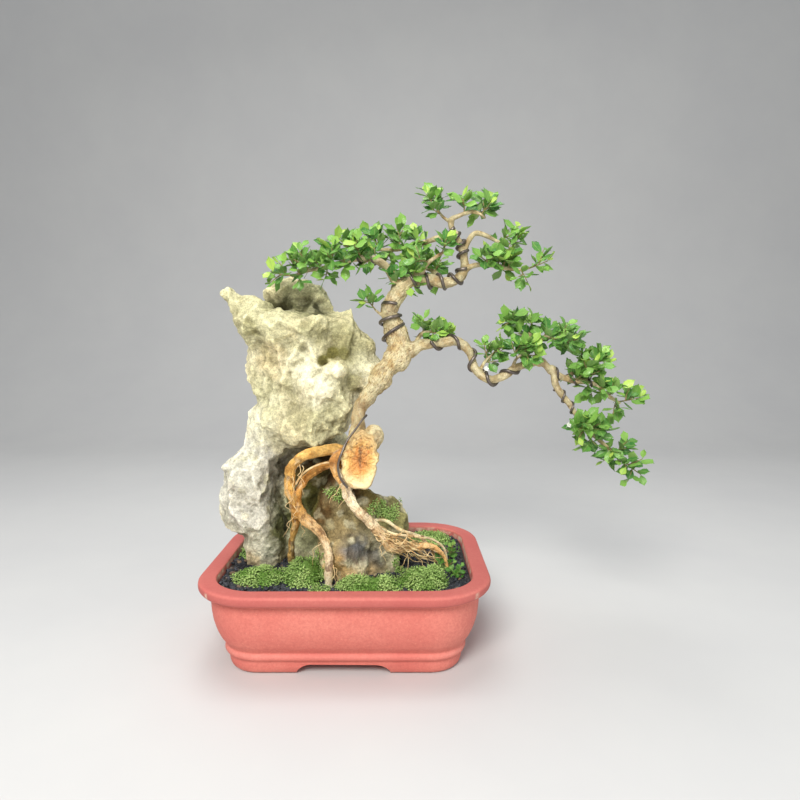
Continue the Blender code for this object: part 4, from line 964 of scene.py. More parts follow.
def knobbly(path, name, strength):
    """The path with its thickness swelling and narrowing as grown wood does."""
    seed = sum(ord(letter) for letter in name)
    along = np.cumsum([0.0] + [(b - a).to_3d().length for a, b in zip(path, path[1:])])
    spots = np.stack([along / 0.011, np.full(len(path), seed * 1.7), np.zeros(len(path))], axis=1)
    swell = strength * layered(spots, 2, seed)
    drift = np.stack([layered(spots * 0.7, 2, seed + k) for k in (1, 2, 3)], axis=1)
    made = []
    for point, wide, aside in zip(path, swell, drift):
        moved = point.to_3d() + Vector(aside) * point.w * 0.22
        made.append(Vector((*moved, point.w * (1 + wide))))
    return made


def wood_form(rock_faces):
    """(mesh, samples): trunk, branches and thick roots under one smooth skin, and for each step along
    each centre line its middle, two directions across it, radius, way along and colour."""
    soup, samples = Soup(), []
    lines = {name: planted_path(points, WOOD_STEP) for name, points in BRANCHES.items()}
    roots = {name: root_path(rock_faces, points, WOOD_STEP) for name, points in ROOTS.items()}
    for name, path in {**lines, **roots}.items():
        path = knobbly(path, name, 0.13 if name in roots else 0.11)
        soup.add(*tube(path, 16))
        first, last = ROOT_TINTS.get(name, (CREAM_BARK, CREAM_BARK))
        along = 0.0
        for i, ((centre, across, up), point) in enumerate(zip(frames_along(path), path)):
            share = i / (len(path) - 1)
            along += WOOD_STEP
            samples.append((centre, across, up, point.w, along, first * (1 - share) + last * share))
    for name, points in BRANCHES.items():
        if name not in ("trunk", "cascade"):
            bm = bmesh.new()
            x, y, z, r = points[0]
            size = r * 1.5 * MM
            bmesh.ops.create_icosphere(bm, subdivisions=3, radius=size)
            bm.transform(Matrix.Translation(planted(x, y, z)))
            soup.take(bm)
    for centre, radii, tilt in BURL:
        bm = bmesh.new()
        add_lump(bm, centre, radii, tilt, 4)
        soup.take(bm)
    return one_skin(soup.mesh("wood"), WOOD_VOXEL), samples


def nearest_samples(samples, co):
    """What the nearest sample holds, as an array of each of its values with a row for each point."""
    tree = KDTree(len(samples))
    for i, sample in enumerate(samples):
        tree.insert(sample[0], i)
    tree.balance()
    nearest = np.array([tree.find(p)[1] for p in co])
    return [np.array(values)[nearest] for values in zip(*samples)]


def wood_tint(tint, co, grain, rooted):
    """The bark's colour varied, with dirt on the roots, tanned and pale streaks."""
    vary = eased(layered(co / 0.012, 3, 67), -0.8, 0.8)[:, None]
    tint = tint * (0.80 + 0.34 * vary)
    grime = eased(layered(co / 0.0045, 3, 70), 0.15, 0.75) * (0.38 + 0.3 * rooted)
    grime = grime * (1 - 0.75 * eased(tint[:, 2], 0.42, 0.60))
    tint = blended(tint, srgb(104, 62, 28), grime)
    tanned = eased(layered(co / 0.007, 3, 69), 0.0, 0.9)[:, None]
    tint = tint * (1 - 0.5 * tanned * (1 - srgb(220, 190, 146)))
    tint = blended(tint, srgb(240, 226, 190), 0.4 * eased(layered(grain * 0.6, 2, 68), 0.1, 0.9))
    return blended(tint, srgb(170, 116, 66), 0.3 * near_to(co, (14, -24, 148), 20))


def build_wood(rock_faces):
    """The wood with its bark raised along the grain."""
    mesh, samples = wood_form(rock_faces)
    co = relaxed(mesh, points_of(mesh), 3)
    set_points(mesh, co)
    normal = normals_of(mesh)
    centres, across, up, radius, along, tint = nearest_samples(samples, co)
    away = co - centres
    tangent = np.cross(across, up)
    along = along + dots(away, tangent)
    round_about = np.stack(
        [dots(away, across), dots(away, up)], axis=1
    )
    round_about *= (radius / np.maximum(np.linalg.norm(round_about, axis=1), 1e-6))[:, None]
    twist = 0.5 * soft_noise(np.stack([along / 0.02, radius * 0, radius * 0], axis=1), 61)
    grain = np.stack(
        [along / 0.0062 + twist, round_about[:, 0] / 0.0017, round_about[:, 1] / 0.0017], axis=1
    )
    cracks = ridged(grain, 3, 62)
    plates, second = cells(grain * 0.8 + 0.35 * layered(grain, 2, 63)[:, None], 64)
    seams = np.clip(1 - (second - plates) / 0.18, 0, 1)
    depth = np.clip(0.075 * radius, 0.00010, 0.00075)
    rooted = eased(-co[:, 2], -0.185, -0.165)
    depth = depth * (1 + 1.2 * rooted)
    push = depth * (1.3 * (0.72 - cracks) - 0.45 * seams + 0.5 * (0.5 - plates))
    push += np.clip(0.03 * radius, 0.00005, 0.0003) * layered(co / 0.0022, 2, 65)
    push += np.clip(0.10 * radius, 0, 0.0010) * (1 + 0.7 * rooted) * layered(co / 0.0075, 2, 66)
    co = co + normal * push[:, None]
    set_points(mesh, co)
    fine = dots(relaxed(mesh, co, 5) - co, normals_of(mesh)) / 0.00022
    hollow = np.clip(fine, -1, 1.4) * 0.7 + 0.18 * seams + 0.5 * (cracks - 0.72)
    set_tint(mesh, wood_tint(tint, co, grain, rooted))
    set_number(mesh, "hollow", hollow)
    return add_piece("wood", mesh, bark_finish(), ["tree"])


def stump_reach(turn):
    """How far the saw cut's edge is from its middle, in each direction, in millimetres."""
    wide, tall = 16.5, 25.5
    base = wide * tall / np.sqrt((tall * np.cos(turn)) ** 2 + (wide * np.sin(turn)) ** 2)
    lobe = 3.2 * np.exp(-(((turn - 1.0) / 0.45) ** 2)) - 2.2 * np.exp(-(((turn - 2.2) / 0.4) ** 2))
    wave = 0.8 * np.sin(5 * turn + 0.6) + 0.6 * np.sin(9 * turn)
    wave += 0.45 * np.sin(17 * turn + 2) * (1 + np.sin(turn))
    return base + lobe + wave


def saw_cut_tint(s, t, wavy, dark, roll):
    """The cut's colour by share of the way out and direction: heart, sapwood, stains, dark, bark rim."""
    sap, mid, core = srgb(250, 228, 164), srgb(240, 190, 104), srgb(212, 134, 56)
    tint = blended(core, mid, eased(wavy, 0.2, 0.7))
    tint = blended(tint, sap, eased(wavy, 0.55, 0.85))
    low = eased(-np.sin(t), 0.3, 1.0) * eased(s, 0.4, 0.8)
    tint = blended(tint, srgb(250, 232, 184), 0.7 * low)
    top = eased(np.sin(t), 0.1, 0.9) * eased(s, 0.3, 0.8)
    tint = blended(tint, srgb(186, 130, 70), 0.5 * top)
    tint = blended(tint, srgb(92, 40, 18), dark)
    rim = roll * (0.45 + 0.55 * eased(-np.cos(t), -0.2, 0.7))
    return blended(tint, srgb(120, 84, 50), 0.85 * rim)


def build_saw_cut():
    """The stump's cut face, slightly dished, with heart cracks and a rolled bark edge."""
    rings, sides = 46, 150
    share = np.linspace(0.0, 1.0, rings)[1:]
    turns = np.linspace(0, 2 * math.pi, sides, endpoint=False)
    s, t = (grid.ravel() for grid in np.meshgrid(share, turns, indexing="ij"))
    reach = stump_reach(t) * MM
    x, z = s * reach * np.cos(t), s * reach * np.sin(t)
    flat = np.stack([x, np.zeros_like(x), z], axis=1)
    wavy = s + 0.05 * soft_noise(flat / 0.009, 71)
    ray = soft_noise(np.stack([np.cos(t) * 3.1, np.sin(t) * 3.1, s * 0.6], axis=1), 72)
    crack = np.clip(1 - np.abs(ray) / 0.16, 0, 1) * eased(s, 0.04, 0.15) * (1 - eased(s, 0.5, 0.85))
    fibres = soft_noise(np.stack([np.cos(t) * 9, np.sin(t) * 9, s * 2.5], axis=1), 76)
    crack = np.clip(crack + 0.5 * np.clip(fibres - 0.25, 0, 1) * (1 - eased(s, 0.6, 0.95)), 0, 1)
    split = np.abs(x - 0.0012 - 0.0009 * soft_noise(flat / 0.004, 77)) / 0.0016
    split = np.clip(1 - split, 0, 1) * eased(z, -0.008, -0.003) * (1 - eased(z, 0.010, 0.016))
    heart = 0.8 * (1 - eased(s, 0.05, 0.17 + 0.10 * soft_noise(flat / 0.004, 73)))
    heart = np.maximum(heart, split)
    roll = eased(s, 0.86, 0.97)
    y = -0.0012 * s + 0.0016 * (1 - s) ** 2 + 0.0009 * crack + 0.0010 * heart
    y -= 0.0016 * np.sin(np.clip((s - 0.84) / 0.16, 0, 1) * math.pi) + 0.00025 * np.sin(wavy * 60)
    y += 0.0014 * layered(flat / 0.006, 3, 74) + 0.0007 * layered(flat / 0.0015, 2, 75)
    middle = np.array(planted(13, -51, 109))
    lean = np.array([[1, 0, 0], [0.10, 1, 0.10], [0, 0, 1]])
    front = np.stack([x, y, z], axis=1) @ lean.T + middle
    centre = middle + np.array([0, 0.0022, 0])
    shrink = np.array([0.93, 1.0, 0.93])
    back_ring = middle + (front[-sides:] - middle) * shrink + np.array([0, 0.008, 0])
    points = np.concatenate([[centre], front, back_ring, [middle + np.array([0, 0.009, 0])]])
    faces, rows = [], rings - 1
    for i in range(sides):
        j = (i + 1) % sides
        faces.append((0, 1 + j, 1 + i))
        for k in range(rows):
            low, high = 1 + k * sides, 1 + (k + 1) * sides
            faces.append((low + i, low + j, high + j, high + i))
        last = 1 + rows * sides
        faces.append((last + i, last + j, len(points) - 1))
    mesh = bpy.data.meshes.new("saw_cut")
    mesh.from_pydata(points.tolist(), [], faces)
    bm = bmesh.new()
    bm.from_mesh(mesh)
    bmesh.ops.recalc_face_normals(bm, faces=bm.faces)
    bm.to_mesh(mesh)
    bm.free()
    specks = eased(layered(flat / 0.0022, 3, 78), 0.25, 0.7) * eased(z, -0.004, 0.012) * (1 - roll)
    dark = np.clip(0.40 * crack + 0.9 * heart + 0.7 * specks, 0, 0.95)
    tint = saw_cut_tint(s, t, wavy, dark, roll)
    edge = np.tile(srgb(130, 92, 56), (sides + 1, 1))
    set_tint(mesh, np.concatenate([[srgb(96, 48, 26)], tint, edge]))
    set_number(mesh, "ring", np.concatenate([[0], wavy, np.ones(sides + 1)]))
    return add_piece("saw_cut", mesh, wood_face_finish())


def build_hair_roots(rock_faces):
    """The tangle of fine roots that runs over the rock's right foot, and hairs off the thick ones."""
    random.seed("hair roots")
    soup = Soup()
    for _ in range(22):
        height = random.uniform(0, 1)
        points = []
        start_x = random.uniform(24, 50)
        end_x = random.uniform(66, 98)
        start_z = 46 - (start_x - 24) * 0.5 + random.uniform(-8, 6)
        end_z = random.uniform(0, 24)
        for i in range(9):
            t = i / 8
            x = start_x + (end_x - start_x) * t
            z = start_z + (end_z - start_z) * t**0.9 + 7 * math.sin(math.pi * t) * height
            y = -50 + 33 * t + random.uniform(-5, 5) - 4 * math.sin(math.pi * t)
            place = planted(x + random.uniform(-2, 2), y, z + random.uniform(-3.0, 3.0))
            hit = rock_faces.ray_cast(Vector((place.x, -0.2, place.z)), Vector((0, 1, 0)))[0]
            if hit:
                place.y = min(place.y, hit.y - 0.0003)
            points.append(Vector((*place, random.uniform(0.35, 0.75) * MM * (1 - 0.5 * t))))
        soup.add(*tube(smooth_path(points, 0.0018), 7))
    starts = [(-49, -47, 92), (-48, -45, 78), (-20, -54, 42), (-12, -64, 22), (-40, -52, 108)]
    starts += [(33, -48, 38), (60, -38, 24), (-4, -56, 92), (-44, -40, 60)]
    for place in starts * 3:
        x, y, z = (v + random.uniform(-4, 4) for v in place)
        points = []
        for i in range(7):
            points.append(Vector((*planted(x, y, z), 0.45 * MM * (1 - 0.11 * i))))
            x += random.uniform(-4, 4)
            y += random.uniform(-2.0, 1.5)
            z -= random.uniform(1.5, 5.5)
        soup.add(*tube(smooth_path(points, 0.0018), 6))
    red = ((-8, -46, 107), (-20, -46, 106), (-32, -47, 101), (-39, -47, 95), (-44, -46, 87))
    path = smooth_path([Vector((*planted(*p), 0.9 * MM)) for p in red], 0.002)
    soup.add(*tube(path, 10))
    finish = simple_finish("hair_root", srgb(240, 218, 166), srgb(206, 160, 100), 0.8, 160)
    return add_piece("hair_roots", soup.mesh("hair_roots"), finish)


# ---------------------------------------------------------------- wires

# Wire name: branch, share where it starts and ends, pitch in millimetres, radius, start angle
THICK_WIRE, THIN_WIRE = 0.00155, 0.0010
WIRES = {
    "wire_trunk": ("trunk", 0.36, 0.47, 13, THICK_WIRE, 0.4),
    "wire_crown": ("trunk", 0.545, 0.735, 13, THICK_WIRE, 1.0),
    "wire_apex": ("trunk", 0.765, 0.86, 8, THICK_WIRE, 0.0),
    "wire_cascade": ("cascade", 0.13, 0.60, 23, THICK_WIRE, 2.0),
    "wire_cascade_end": ("cascade", 0.70, 0.87, 16, THIN_WIRE, 0.3),
    "wire_fork": ("fork", 0.16, 0.62, 13, THIN_WIRE, 1.2),
    "wire_left_branch": ("left_low", 0.28, 0.52, 13, THIN_WIRE, 0.8),
}
ANCHOR = (
    (19, -35, 148), (15, -40, 144), (10, -46, 137), (3, -51, 128), (-2, -56, 117),
    (-5, -58, 106), (-3, -59, 96), (3, -58, 87),
)


def coil_path(points, start, end, pitch, radius, phase):
    line = Line(points)
    turns = (end - start) * line.lengths[-1] / (pitch * MM)
    count = round(turns * 22)
    path = []
    for i in range(count + 1):
        centre, across, up, girth = line.at(start + (end - start) * i / count)
        angle = phase + 2 * math.pi * turns * i / count
        out = across * math.cos(angle) + up * math.sin(angle)
        wander = 1 + 0.03 * math.sin(i * 0.37)
        path.append(Vector((*(centre + out * (girth * 1.04 + radius * 0.75) * wander), radius)))
    return path


def build_wires():
    finish = simple_finish("training_wire", srgb(132, 122, 112), srgb(92, 84, 78), 0.38, 90, 0.7, 0.0001)
    for name, (branch, *spec) in WIRES.items():
        soup = Soup()
        soup.add(*tube(coil_path(BRANCHES[branch], *spec), 14))
        add_piece(name.replace("wire", "coil"), soup.mesh(name), finish, [name])
    path = smooth_path([Vector((*planted(*p), THIN_WIRE)) for p in ANCHOR], 0.0015)
    soup = Soup()
    soup.add(*tube(path, 12))
    add_piece("coil_end", soup.mesh("coil_end"), finish, ["wire_anchor"])


# ---------------------------------------------------------------- leaves

# Shoot name: branch, share of its length, direction, leaves on the main twig, twig length in millimetres
SHOOTS = {
    "shoot_apex_right": ("trunk", 0.985, (0.5, -0.3, 0.7), 6, 10),
    "shoot_apex_middle": ("trunk", 0.93, (-0.1, 0.3, 1.0), 6, 9),
    "shoot_apex_left": ("apex_left", 0.97, (-0.6, -0.2, 0.7), 6, 11),
    "shoot_right_high": ("right_high", 0.985, (0.8, -0.1, 0.5), 6, 11),
    "shoot_right_low_tip": ("right_low", 0.985, (1.0, -0.1, 0.3), 7, 14),
    "shoot_right_low_top": ("right_low", 0.66, (0.3, 0.4, 0.9), 7, 12),
    "shoot_right_low_front": ("right_low", 0.40, (0.1, -0.9, 0.2), 6, 13),
    "shoot_centre_tip": ("centre", 0.97, (0.2, -0.3, 0.7), 5, 8),
    "shoot_centre_front": ("centre", 0.55, (-0.9, -0.7, 0.1), 6, 13),
    "shoot_back_tip": ("back", 0.98, (-0.3, 0.9, 0.3), 8, 15),
    "shoot_left_high_tip": ("left_high", 0.98, (-0.9, 0.1, 0.4), 8, 15),
    "shoot_left_high_outer": ("left_high", 0.78, (-0.3, 0.5, 0.9), 7, 14),
    "shoot_left_high_middle": ("left_high", 0.56, (-0.2, 0.1, 1.0), 7, 13),
    "shoot_left_low_tip": ("left_low", 0.985, (-0.9, -0.2, 0.1), 8, 14),
    "shoot_left_low_outer": ("left_low", 0.86, (-0.3, -0.6, 0.7), 7, 13),
    "shoot_left_low_middle": ("left_low", 0.68, (0.1, -0.6, 0.8), 7, 13),
    "shoot_left_low_inner": ("left_low", 0.42, (-0.1, -0.8, 0.6), 7, 14),
    "shoot_trunk_sprig": ("trunk_sprig", 0.96, (-0.6, -0.4, 0.8), 5, 9),
    "shoot_base_sprig": ("base_sprig", 0.98, (0.9, -0.2, 0.0), 7, 9),
    "shoot_bend_sprig": ("bend_sprig", 0.98, (0.5, -0.1, 0.4), 6, 8),
    "shoot_middle_sprig": ("middle_sprig", 0.98, (0.3, -0.4, 0.5), 6, 8),
    "shoot_upper_tip": ("upper", 0.98, (-0.8, -0.2, 0.2), 8, 11),
    "shoot_upper_right": ("upper_right", 0.98, (0.8, -0.3, 0.0), 8, 11),
    "shoot_shoulder_tip": ("shoulder", 0.98, (0.9, 0.0, 0.1), 8, 12),
    "shoot_shoulder_front": ("cascade", 0.84, (0.2, -0.6, 0.8), 7, 13),
    "shoot_cascade_tip": ("cascade", 0.99, (0.8, -0.1, 0.1), 8, 13),
    "shoot_fork_upper": ("fork", 0.60, (-0.7, -0.4, 0.2), 7, 12),
    "shoot_fork_tip": ("fork", 0.98, (0.7, -0.2, -0.6), 7, 14),
}
# Where more small sprigs stand: branch, shares of its length between which they grow, how many
SPRIGS = (
    ("left_low", 0.26, 0.99, 11), ("left_high", 0.26, 0.97, 10), ("trunk", 0.50, 0.565, 5),
    ("back", 0.4, 0.95, 5), ("right_low", 0.30, 0.97, 5), ("right_high", 0.7, 0.98, 2),
    ("trunk", 0.95, 0.995, 2), ("apex_left", 0.6, 0.98, 2), ("base_sprig", 0.3, 0.9, 3),
    ("bend_sprig", 0.4, 0.98, 2), ("middle_sprig", 0.4, 0.98, 3), ("upper", 0.35, 0.98, 4),
    ("upper_right", 0.2, 0.98, 4), ("shoulder", 0.3, 0.98, 3), ("cascade", 0.76, 0.99, 8),
    ("fork", 0.45, 0.99, 9),
)
GOLDEN_ANGLE = 2.39996
ALL_ROUND = 6.28
LEAF_ROWS, LEAF_COLUMNS = 10, 4
LEAF_LENGTH = 0.0146


def leaf_template(seed, toothed=True):
    """One leaf, 1 long, along +Y with its face up: (points, faces, numbers). Closed, paper thin."""
    chance = random.Random(seed)
    fold, curl = chance.uniform(0.10, 0.38), chance.uniform(-0.22, 0.30)
    sway, twist = chance.uniform(-0.06, 0.06), chance.uniform(-0.25, 0.25)
    broad = chance.uniform(0.27, 0.35)
    tops, numbers = [], {"rib": [], "vein": [], "side": []}
    for i in range(LEAF_ROWS + 1):
        t = i / LEAF_ROWS
        stalk = 0.035 * (1 - eased(t, 0.08, 0.2))
        grown = max(t - 0.12, 0) / 0.88
        body = broad * math.sin(math.pi * min(0.985, grown**1.15)) ** 0.6 if grown else 0
        if toothed and t > 0.5:
            body *= 1 + 0.07 * math.cos(2 * math.pi * (t - 0.5) * 5.0)
        wide = max(stalk, body, 0.02)
        for k in range(LEAF_COLUMNS + 1):
            u = 2 * k / LEAF_COLUMNS - 1
            x = wide * u
            notch = 0.0
            if toothed and i == LEAF_ROWS:
                notch = 0.02 * math.cos(2 * math.pi * u * 1.5)
            y = t - 0.10 * abs(u) ** 2 * eased(t, 0.6, 1.0) + notch
            z = fold * abs(x) * (1 - 0.3 * abs(u)) + curl * (t - 0.15) ** 2 * (1 if t > 0.15 else 0)
            z += 0.03 * math.sin(7 * t + 2.5 * u + seed) * abs(u) * t + twist * x * t
            tops.append((x + sway * t * t, y, z))
            numbers["rib"].append(abs(u))
            numbers["vein"].append((t * 0.9 - abs(u) * 0.28) * 58)
            numbers["side"].append(0.0)
    count = len(tops)
    thick = 0.014
    bottoms = []
    for index, (x, y, z) in enumerate(tops):
        u = abs(2 * (index % (LEAF_COLUMNS + 1)) / LEAF_COLUMNS - 1)
        bottoms.append((x, y, z - thick * (1.2 - 0.7 * u)))
    for key in ("rib", "vein"):
        numbers[key] += numbers[key]
    numbers["side"] += [1.0] * count
    faces, across = [], LEAF_COLUMNS + 1
    for i in range(LEAF_ROWS):
        for k in range(LEAF_COLUMNS):
            a, b = i * across + k, i * across + k + 1
            faces.append((a, b, b + across, a + across))
            faces.append((count + a, count + a + across, count + b + across, count + b))
    border = list(range(across))
    border += [i * across + LEAF_COLUMNS for i in range(1, LEAF_ROWS + 1)]
    border += [LEAF_ROWS * across + k for k in range(LEAF_COLUMNS - 1, -1, -1)]
    border += [i * across for i in range(LEAF_ROWS - 1, 0, -1)]
    for a, b in zip(border, border[1:] + border[:1]):
        faces.append((a, count + a, count + b, b))
    return np.array(tops + bottoms), faces, {k: np.array(v) for k, v in numbers.items()}


TEMPLATES = [leaf_template(k) for k in range(9)]
ROUND_TEMPLATES = [leaf_template(k + 40, toothed=False) for k in range(4)]


def add_leaf(soup, chance, base, way, length, templates, tone):
    """Places a leaf whose stalk starts at base, pointing along way, its face turned to the light."""
    level = Vector((chance.uniform(-0.6, 0.6), chance.uniform(-1.3, 0.0), 0.9))
    face = level - way * level.dot(way)
    face = face.normalized() if face.length > 0.25 else way.orthogonal().normalized()
    side = way.cross(face).normalized()
    points, faces, numbers = templates[chance.randrange(len(templates))]
    placed = points * length @ np.array([side, way, face]) + np.array(base)
    soup.add(placed, faces, 0, tone=tone, tip=0.0, **numbers)


def add_twig(soup, chance, start, direction, length, leaves, size, young, templates=TEMPLATES, twigs=2):
    """A twig with its leaves set round it, and smaller twigs low down on it."""
    direction = Vector(direction).normalized()
    rise = Vector((0, 0, 0.15 if direction.z > -0.3 else 0.05))
    fresh = chance.uniform(0.15, 0.62)
    wander = Vector((chance.uniform(-1, 1), chance.uniform(-1, 1), chance.uniform(-0.5, 0.5))) * 0.10
    path = []
    steps = 9
    for i in range(steps + 1):
        t = i / steps
        place = start + (direction * t + rise * t * t * 0.5 + wander * math.sin(2.6 * t)) * length
        path.append(Vector((*place, (0.75 - 0.35 * t) * MM * size)))
    points, faces = tube(path, 7)
    still = np.zeros(len(points))
    soup.add(points, faces, 1, tone=0.5, tip=0.0, rib=still, vein=still, side=still)
    frames = frames_along(path)
    for leaf in range(leaves):
        t = 1.0 - 0.80 * leaf / max(leaves - 1, 1)
        centre, across, up = frames[round(t * steps)]
        along = across.cross(up).normalized()
        angle = GOLDEN_ANGLE * leaf + chance.uniform(-0.4, 0.4)
        out = across * math.cos(angle) + up * math.sin(angle)
        spread = 0.75 + 0.75 * (1 - t) + chance.uniform(-0.2, 0.3)
        way = (out * spread + along * 0.6 + Vector((0, 0, chance.uniform(-0.25, 0.25)))).normalized()
        tone = fresh + chance.uniform(-0.3, 0.35)
        tone += (young if t > 0.8 else 0.0) * chance.uniform(0.3, 1.0)
        tone = max(0.0, min(tone, 1.0))
        grown = (0.72 if t > 0.9 else 1.0) * chance.uniform(0.78, 1.16)
        add_leaf(soup, chance, centre, way, LEAF_LENGTH * size * grown, templates, tone)
    for k in range(twigs):
        t = 0.30 + 0.30 * k
        centre, across, up = frames[round(t * steps)]
        angle = chance.uniform(0, ALL_ROUND)
        out = across * math.cos(angle) + up * math.sin(angle) + Vector((0, -0.25, 0.35))
        way = direction * 0.55 + out.normalized() * 0.9
        add_twig(soup, chance, centre, way, length * 0.62, 4, size * 0.96, young, templates, 0)


def build_foliage():
    finish = leaf_finish("leaf", srgb(80, 148, 72), srgb(162, 214, 100), srgb(214, 242, 112), 0.25)
    twig_finish = simple_finish("green_twig", srgb(170, 140, 96), srgb(120, 128, 70), 0.7, 200)

    def add_foliage(name, mesh, nodes=()):
        add_piece(name, mesh, [finish, twig_finish], nodes)
        mesh.set_sharp_from_angle(angle=math.radians(70))

    lines = {name: Line(points) for name, points in BRANCHES.items()}
    for name, (branch, share, direction, leaves, length) in SHOOTS.items():
        chance = random.Random(name)
        soup = Soup()
        young = 0.35 + (0.35 if share > 0.95 else 0.0)
        start = lines[branch].at(share)[0]
        add_twig(soup, chance, start, direction, length * 1.5 * MM, leaves, 1.0, young)
        add_foliage(name.replace("shoot", "spray"), soup.mesh(name), [name])
    for branch, first, last, count in SPRIGS:
        name = f"sprigs_{branch}_{round(first * 100)}"
        chance = random.Random(name)
        soup = Soup()
        for k in range(count):
            share = first + (last - first) * (k + chance.uniform(0.1, 0.9)) / count
            start, across, up, _ = lines[branch].at(share)
            along = across.cross(up).normalized()
            angle = GOLDEN_ANGLE * k + chance.uniform(-0.5, 0.5)
            out = across * math.cos(angle) + up * math.sin(angle)
            direction = out + along * 0.4 + Vector((0, -0.3, 0.35))
            add_twig(soup, chance, start, direction, chance.uniform(11, 17) * MM, 6, 0.95, 0.4, twigs=1)
        add_foliage(name, soup.mesh(name))


# Two tiny white flowers low on the cascade
BUDS = ((127, -27, 189), (202, -31, 138))


def build_buds():
    finish = simple_finish("petal", srgb(246, 246, 238), srgb(228, 232, 214), 0.5, 200)
    soup = Soup()
    for place in BUDS:
        middle = planted(*place)
        facing = Vector((0.2, -0.9, 0.5)).normalized()
        side = facing.orthogonal().normalized()
        for petal in range(5):
            turn = Matrix.Rotation(petal * 2 * math.pi / 5, 3, facing)
            way = (turn @ side + facing * 0.35).normalized()
            points, faces, _ = ROUND_TEMPLATES[petal % 4]
            axes = np.array([way.cross(facing).normalized(), way, facing])
            soup.add(points * 0.0030 @ axes + np.array(middle), faces)
        stalk = [Vector((*(middle - facing * 0.006 * t), 0.0003)) for t in (0.0, 0.5, 1.0)]
        soup.add(*tube(smooth_path(stalk, 0.001), 6))
    add_piece("white_flowers", soup.mesh("white_flowers"), finish)


def build_weeds():
    finish = leaf_finish("weed_leaf", srgb(70, 130, 44), srgb(120, 178, 72), srgb(176, 214, 104), 0.4)
    stem = simple_finish("weed_stem", srgb(130, 160, 80), srgb(160, 120, 80), 0.6, 200)
    plants = {
        "weed_right": ((97, 4, 0), (0.3, -0.2, 1.0), 6, 15),
        "weed_front": ((98, -42, 0), (0.1, -0.5, 1.0), 5, 12),
        "weed_middle": ((88, -20, 0), (0.4, -0.5, 0.9), 5, 11),
    }
    for name, (place, direction, leaves, length) in plants.items():
        chance = random.Random(name + "weed")
        soup = Soup()
        for _ in range(3):
            lean = Vector(direction) + Vector((chance.uniform(-0.6, 0.6), chance.uniform(-0.6, 0.6), 0))
            start = planted(*place) + Vector((chance.uniform(-3, 3), chance.uniform(-3, 3), 0)) * MM
            add_twig(soup, chance, start, lean, length * MM, leaves, 0.44, 0.4, ROUND_TEMPLATES, 1)
        nodes = [name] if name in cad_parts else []
        add_piece(name.replace("weed", "herb"), soup.mesh(name), [finish, stem], nodes)


# ---------------------------------------------------------------- soil and moss

# (x, y) middle, (x, y) reach and height in millimetres, turn in degrees
MOSS = {
    "moss_left": (-101, 22, 9, 26, 8, 6),
    "moss_front_left": (-78, -50, 24, 18, 11, -12),
    "moss_centre": (-37, -46, 18, 25, 21, 0),
    "moss_front_right": (22, -72, 30, 14, 13, 0),
    "moss_right": (70, -58, 21, 21, 17, 10),
    "moss_right_back": (80, 58, 22, 22, 8, 0),
    "moss_back": (8, 72, 42, 13, 8, 0),
}
# Tufts on the stone and between the roots: (x, y, z), reach in millimetres, fronds
TUFTS = (
    ((30, -42, 60), 10, 80), ((40, -36, 52), 9, 60), ((-4, -50, 76), 8, 34), ((44, -30, 62), 8, 40),
    ((-14, -50, 78), 6, 20), ((-52, -36, 26), 11, 80), ((-44, -44, 34), 8, 50),
    ((-30, -52, 12), 16, 90), ((-58, -40, 14), 12, 60), ((60, -40, 8), 18, 110),
    ((40, -62, 6), 16, 90), ((86, -30, 4), 12, 60), ((-20, -76, 3), 10, 50), ((-8, 50, 60), 16, 60),
    ((-60, 44, 30), 16, 60), ((50, 20, 50), 10, 40),
)


def patch_top(place, x, y):
    """How high the moss cushion stands at (x, y) millimetres, 0 outside it."""
    middle_x, middle_y, reach_x, reach_y, height, turn = place
    swing = math.radians(turn)
    dx, dy = x - middle_x, y - middle_y
    a = dx * math.cos(swing) + dy * math.sin(swing)
    b = -dx * math.sin(swing) + dy * math.cos(swing)
    far = math.hypot(a / reach_x, b / reach_y)
    return height * max(0.0, 1 - far**2.6) if far < 1 else 0.0


def frond(soup, chance, base, up, size, tone):
    """A tuft of little pointed blades round a stem."""
    blades = chance.randint(5, 7)
    side = up.orthogonal().normalized()
    spin = chance.uniform(0, ALL_ROUND)
    for k in range(blades):
        turn = Matrix.Rotation(spin + GOLDEN_ANGLE * k, 3, up)
        out = turn @ side
        lift = 0.25 + 0.9 * k / blades
        way = (out + up * lift).normalized()
        root = base + up * size * 0.12 * k
        flat = way.cross(up)
        flat = flat.normalized() if flat.length > 1e-3 else side
        long = size * (0.95 - 0.07 * k) * chance.uniform(0.8, 1.2)
        wide = long * 0.17
        face = flat.cross(way).normalized()
        bend = -up * long * 0.10
        middle = root + way * long * 0.5
        points = [
            root, middle + flat * wide, middle - flat * wide,
            root + way * long + bend, middle + face * wide * 0.5,
        ]
        faces = [(0, 1, 4), (0, 4, 2), (1, 3, 4), (4, 3, 2), (0, 2, 1), (1, 2, 3)]
        soup.add(points, faces, 0, tone=tone, tip=[0.0, 0.55, 0.55, 1.0, 0.7])


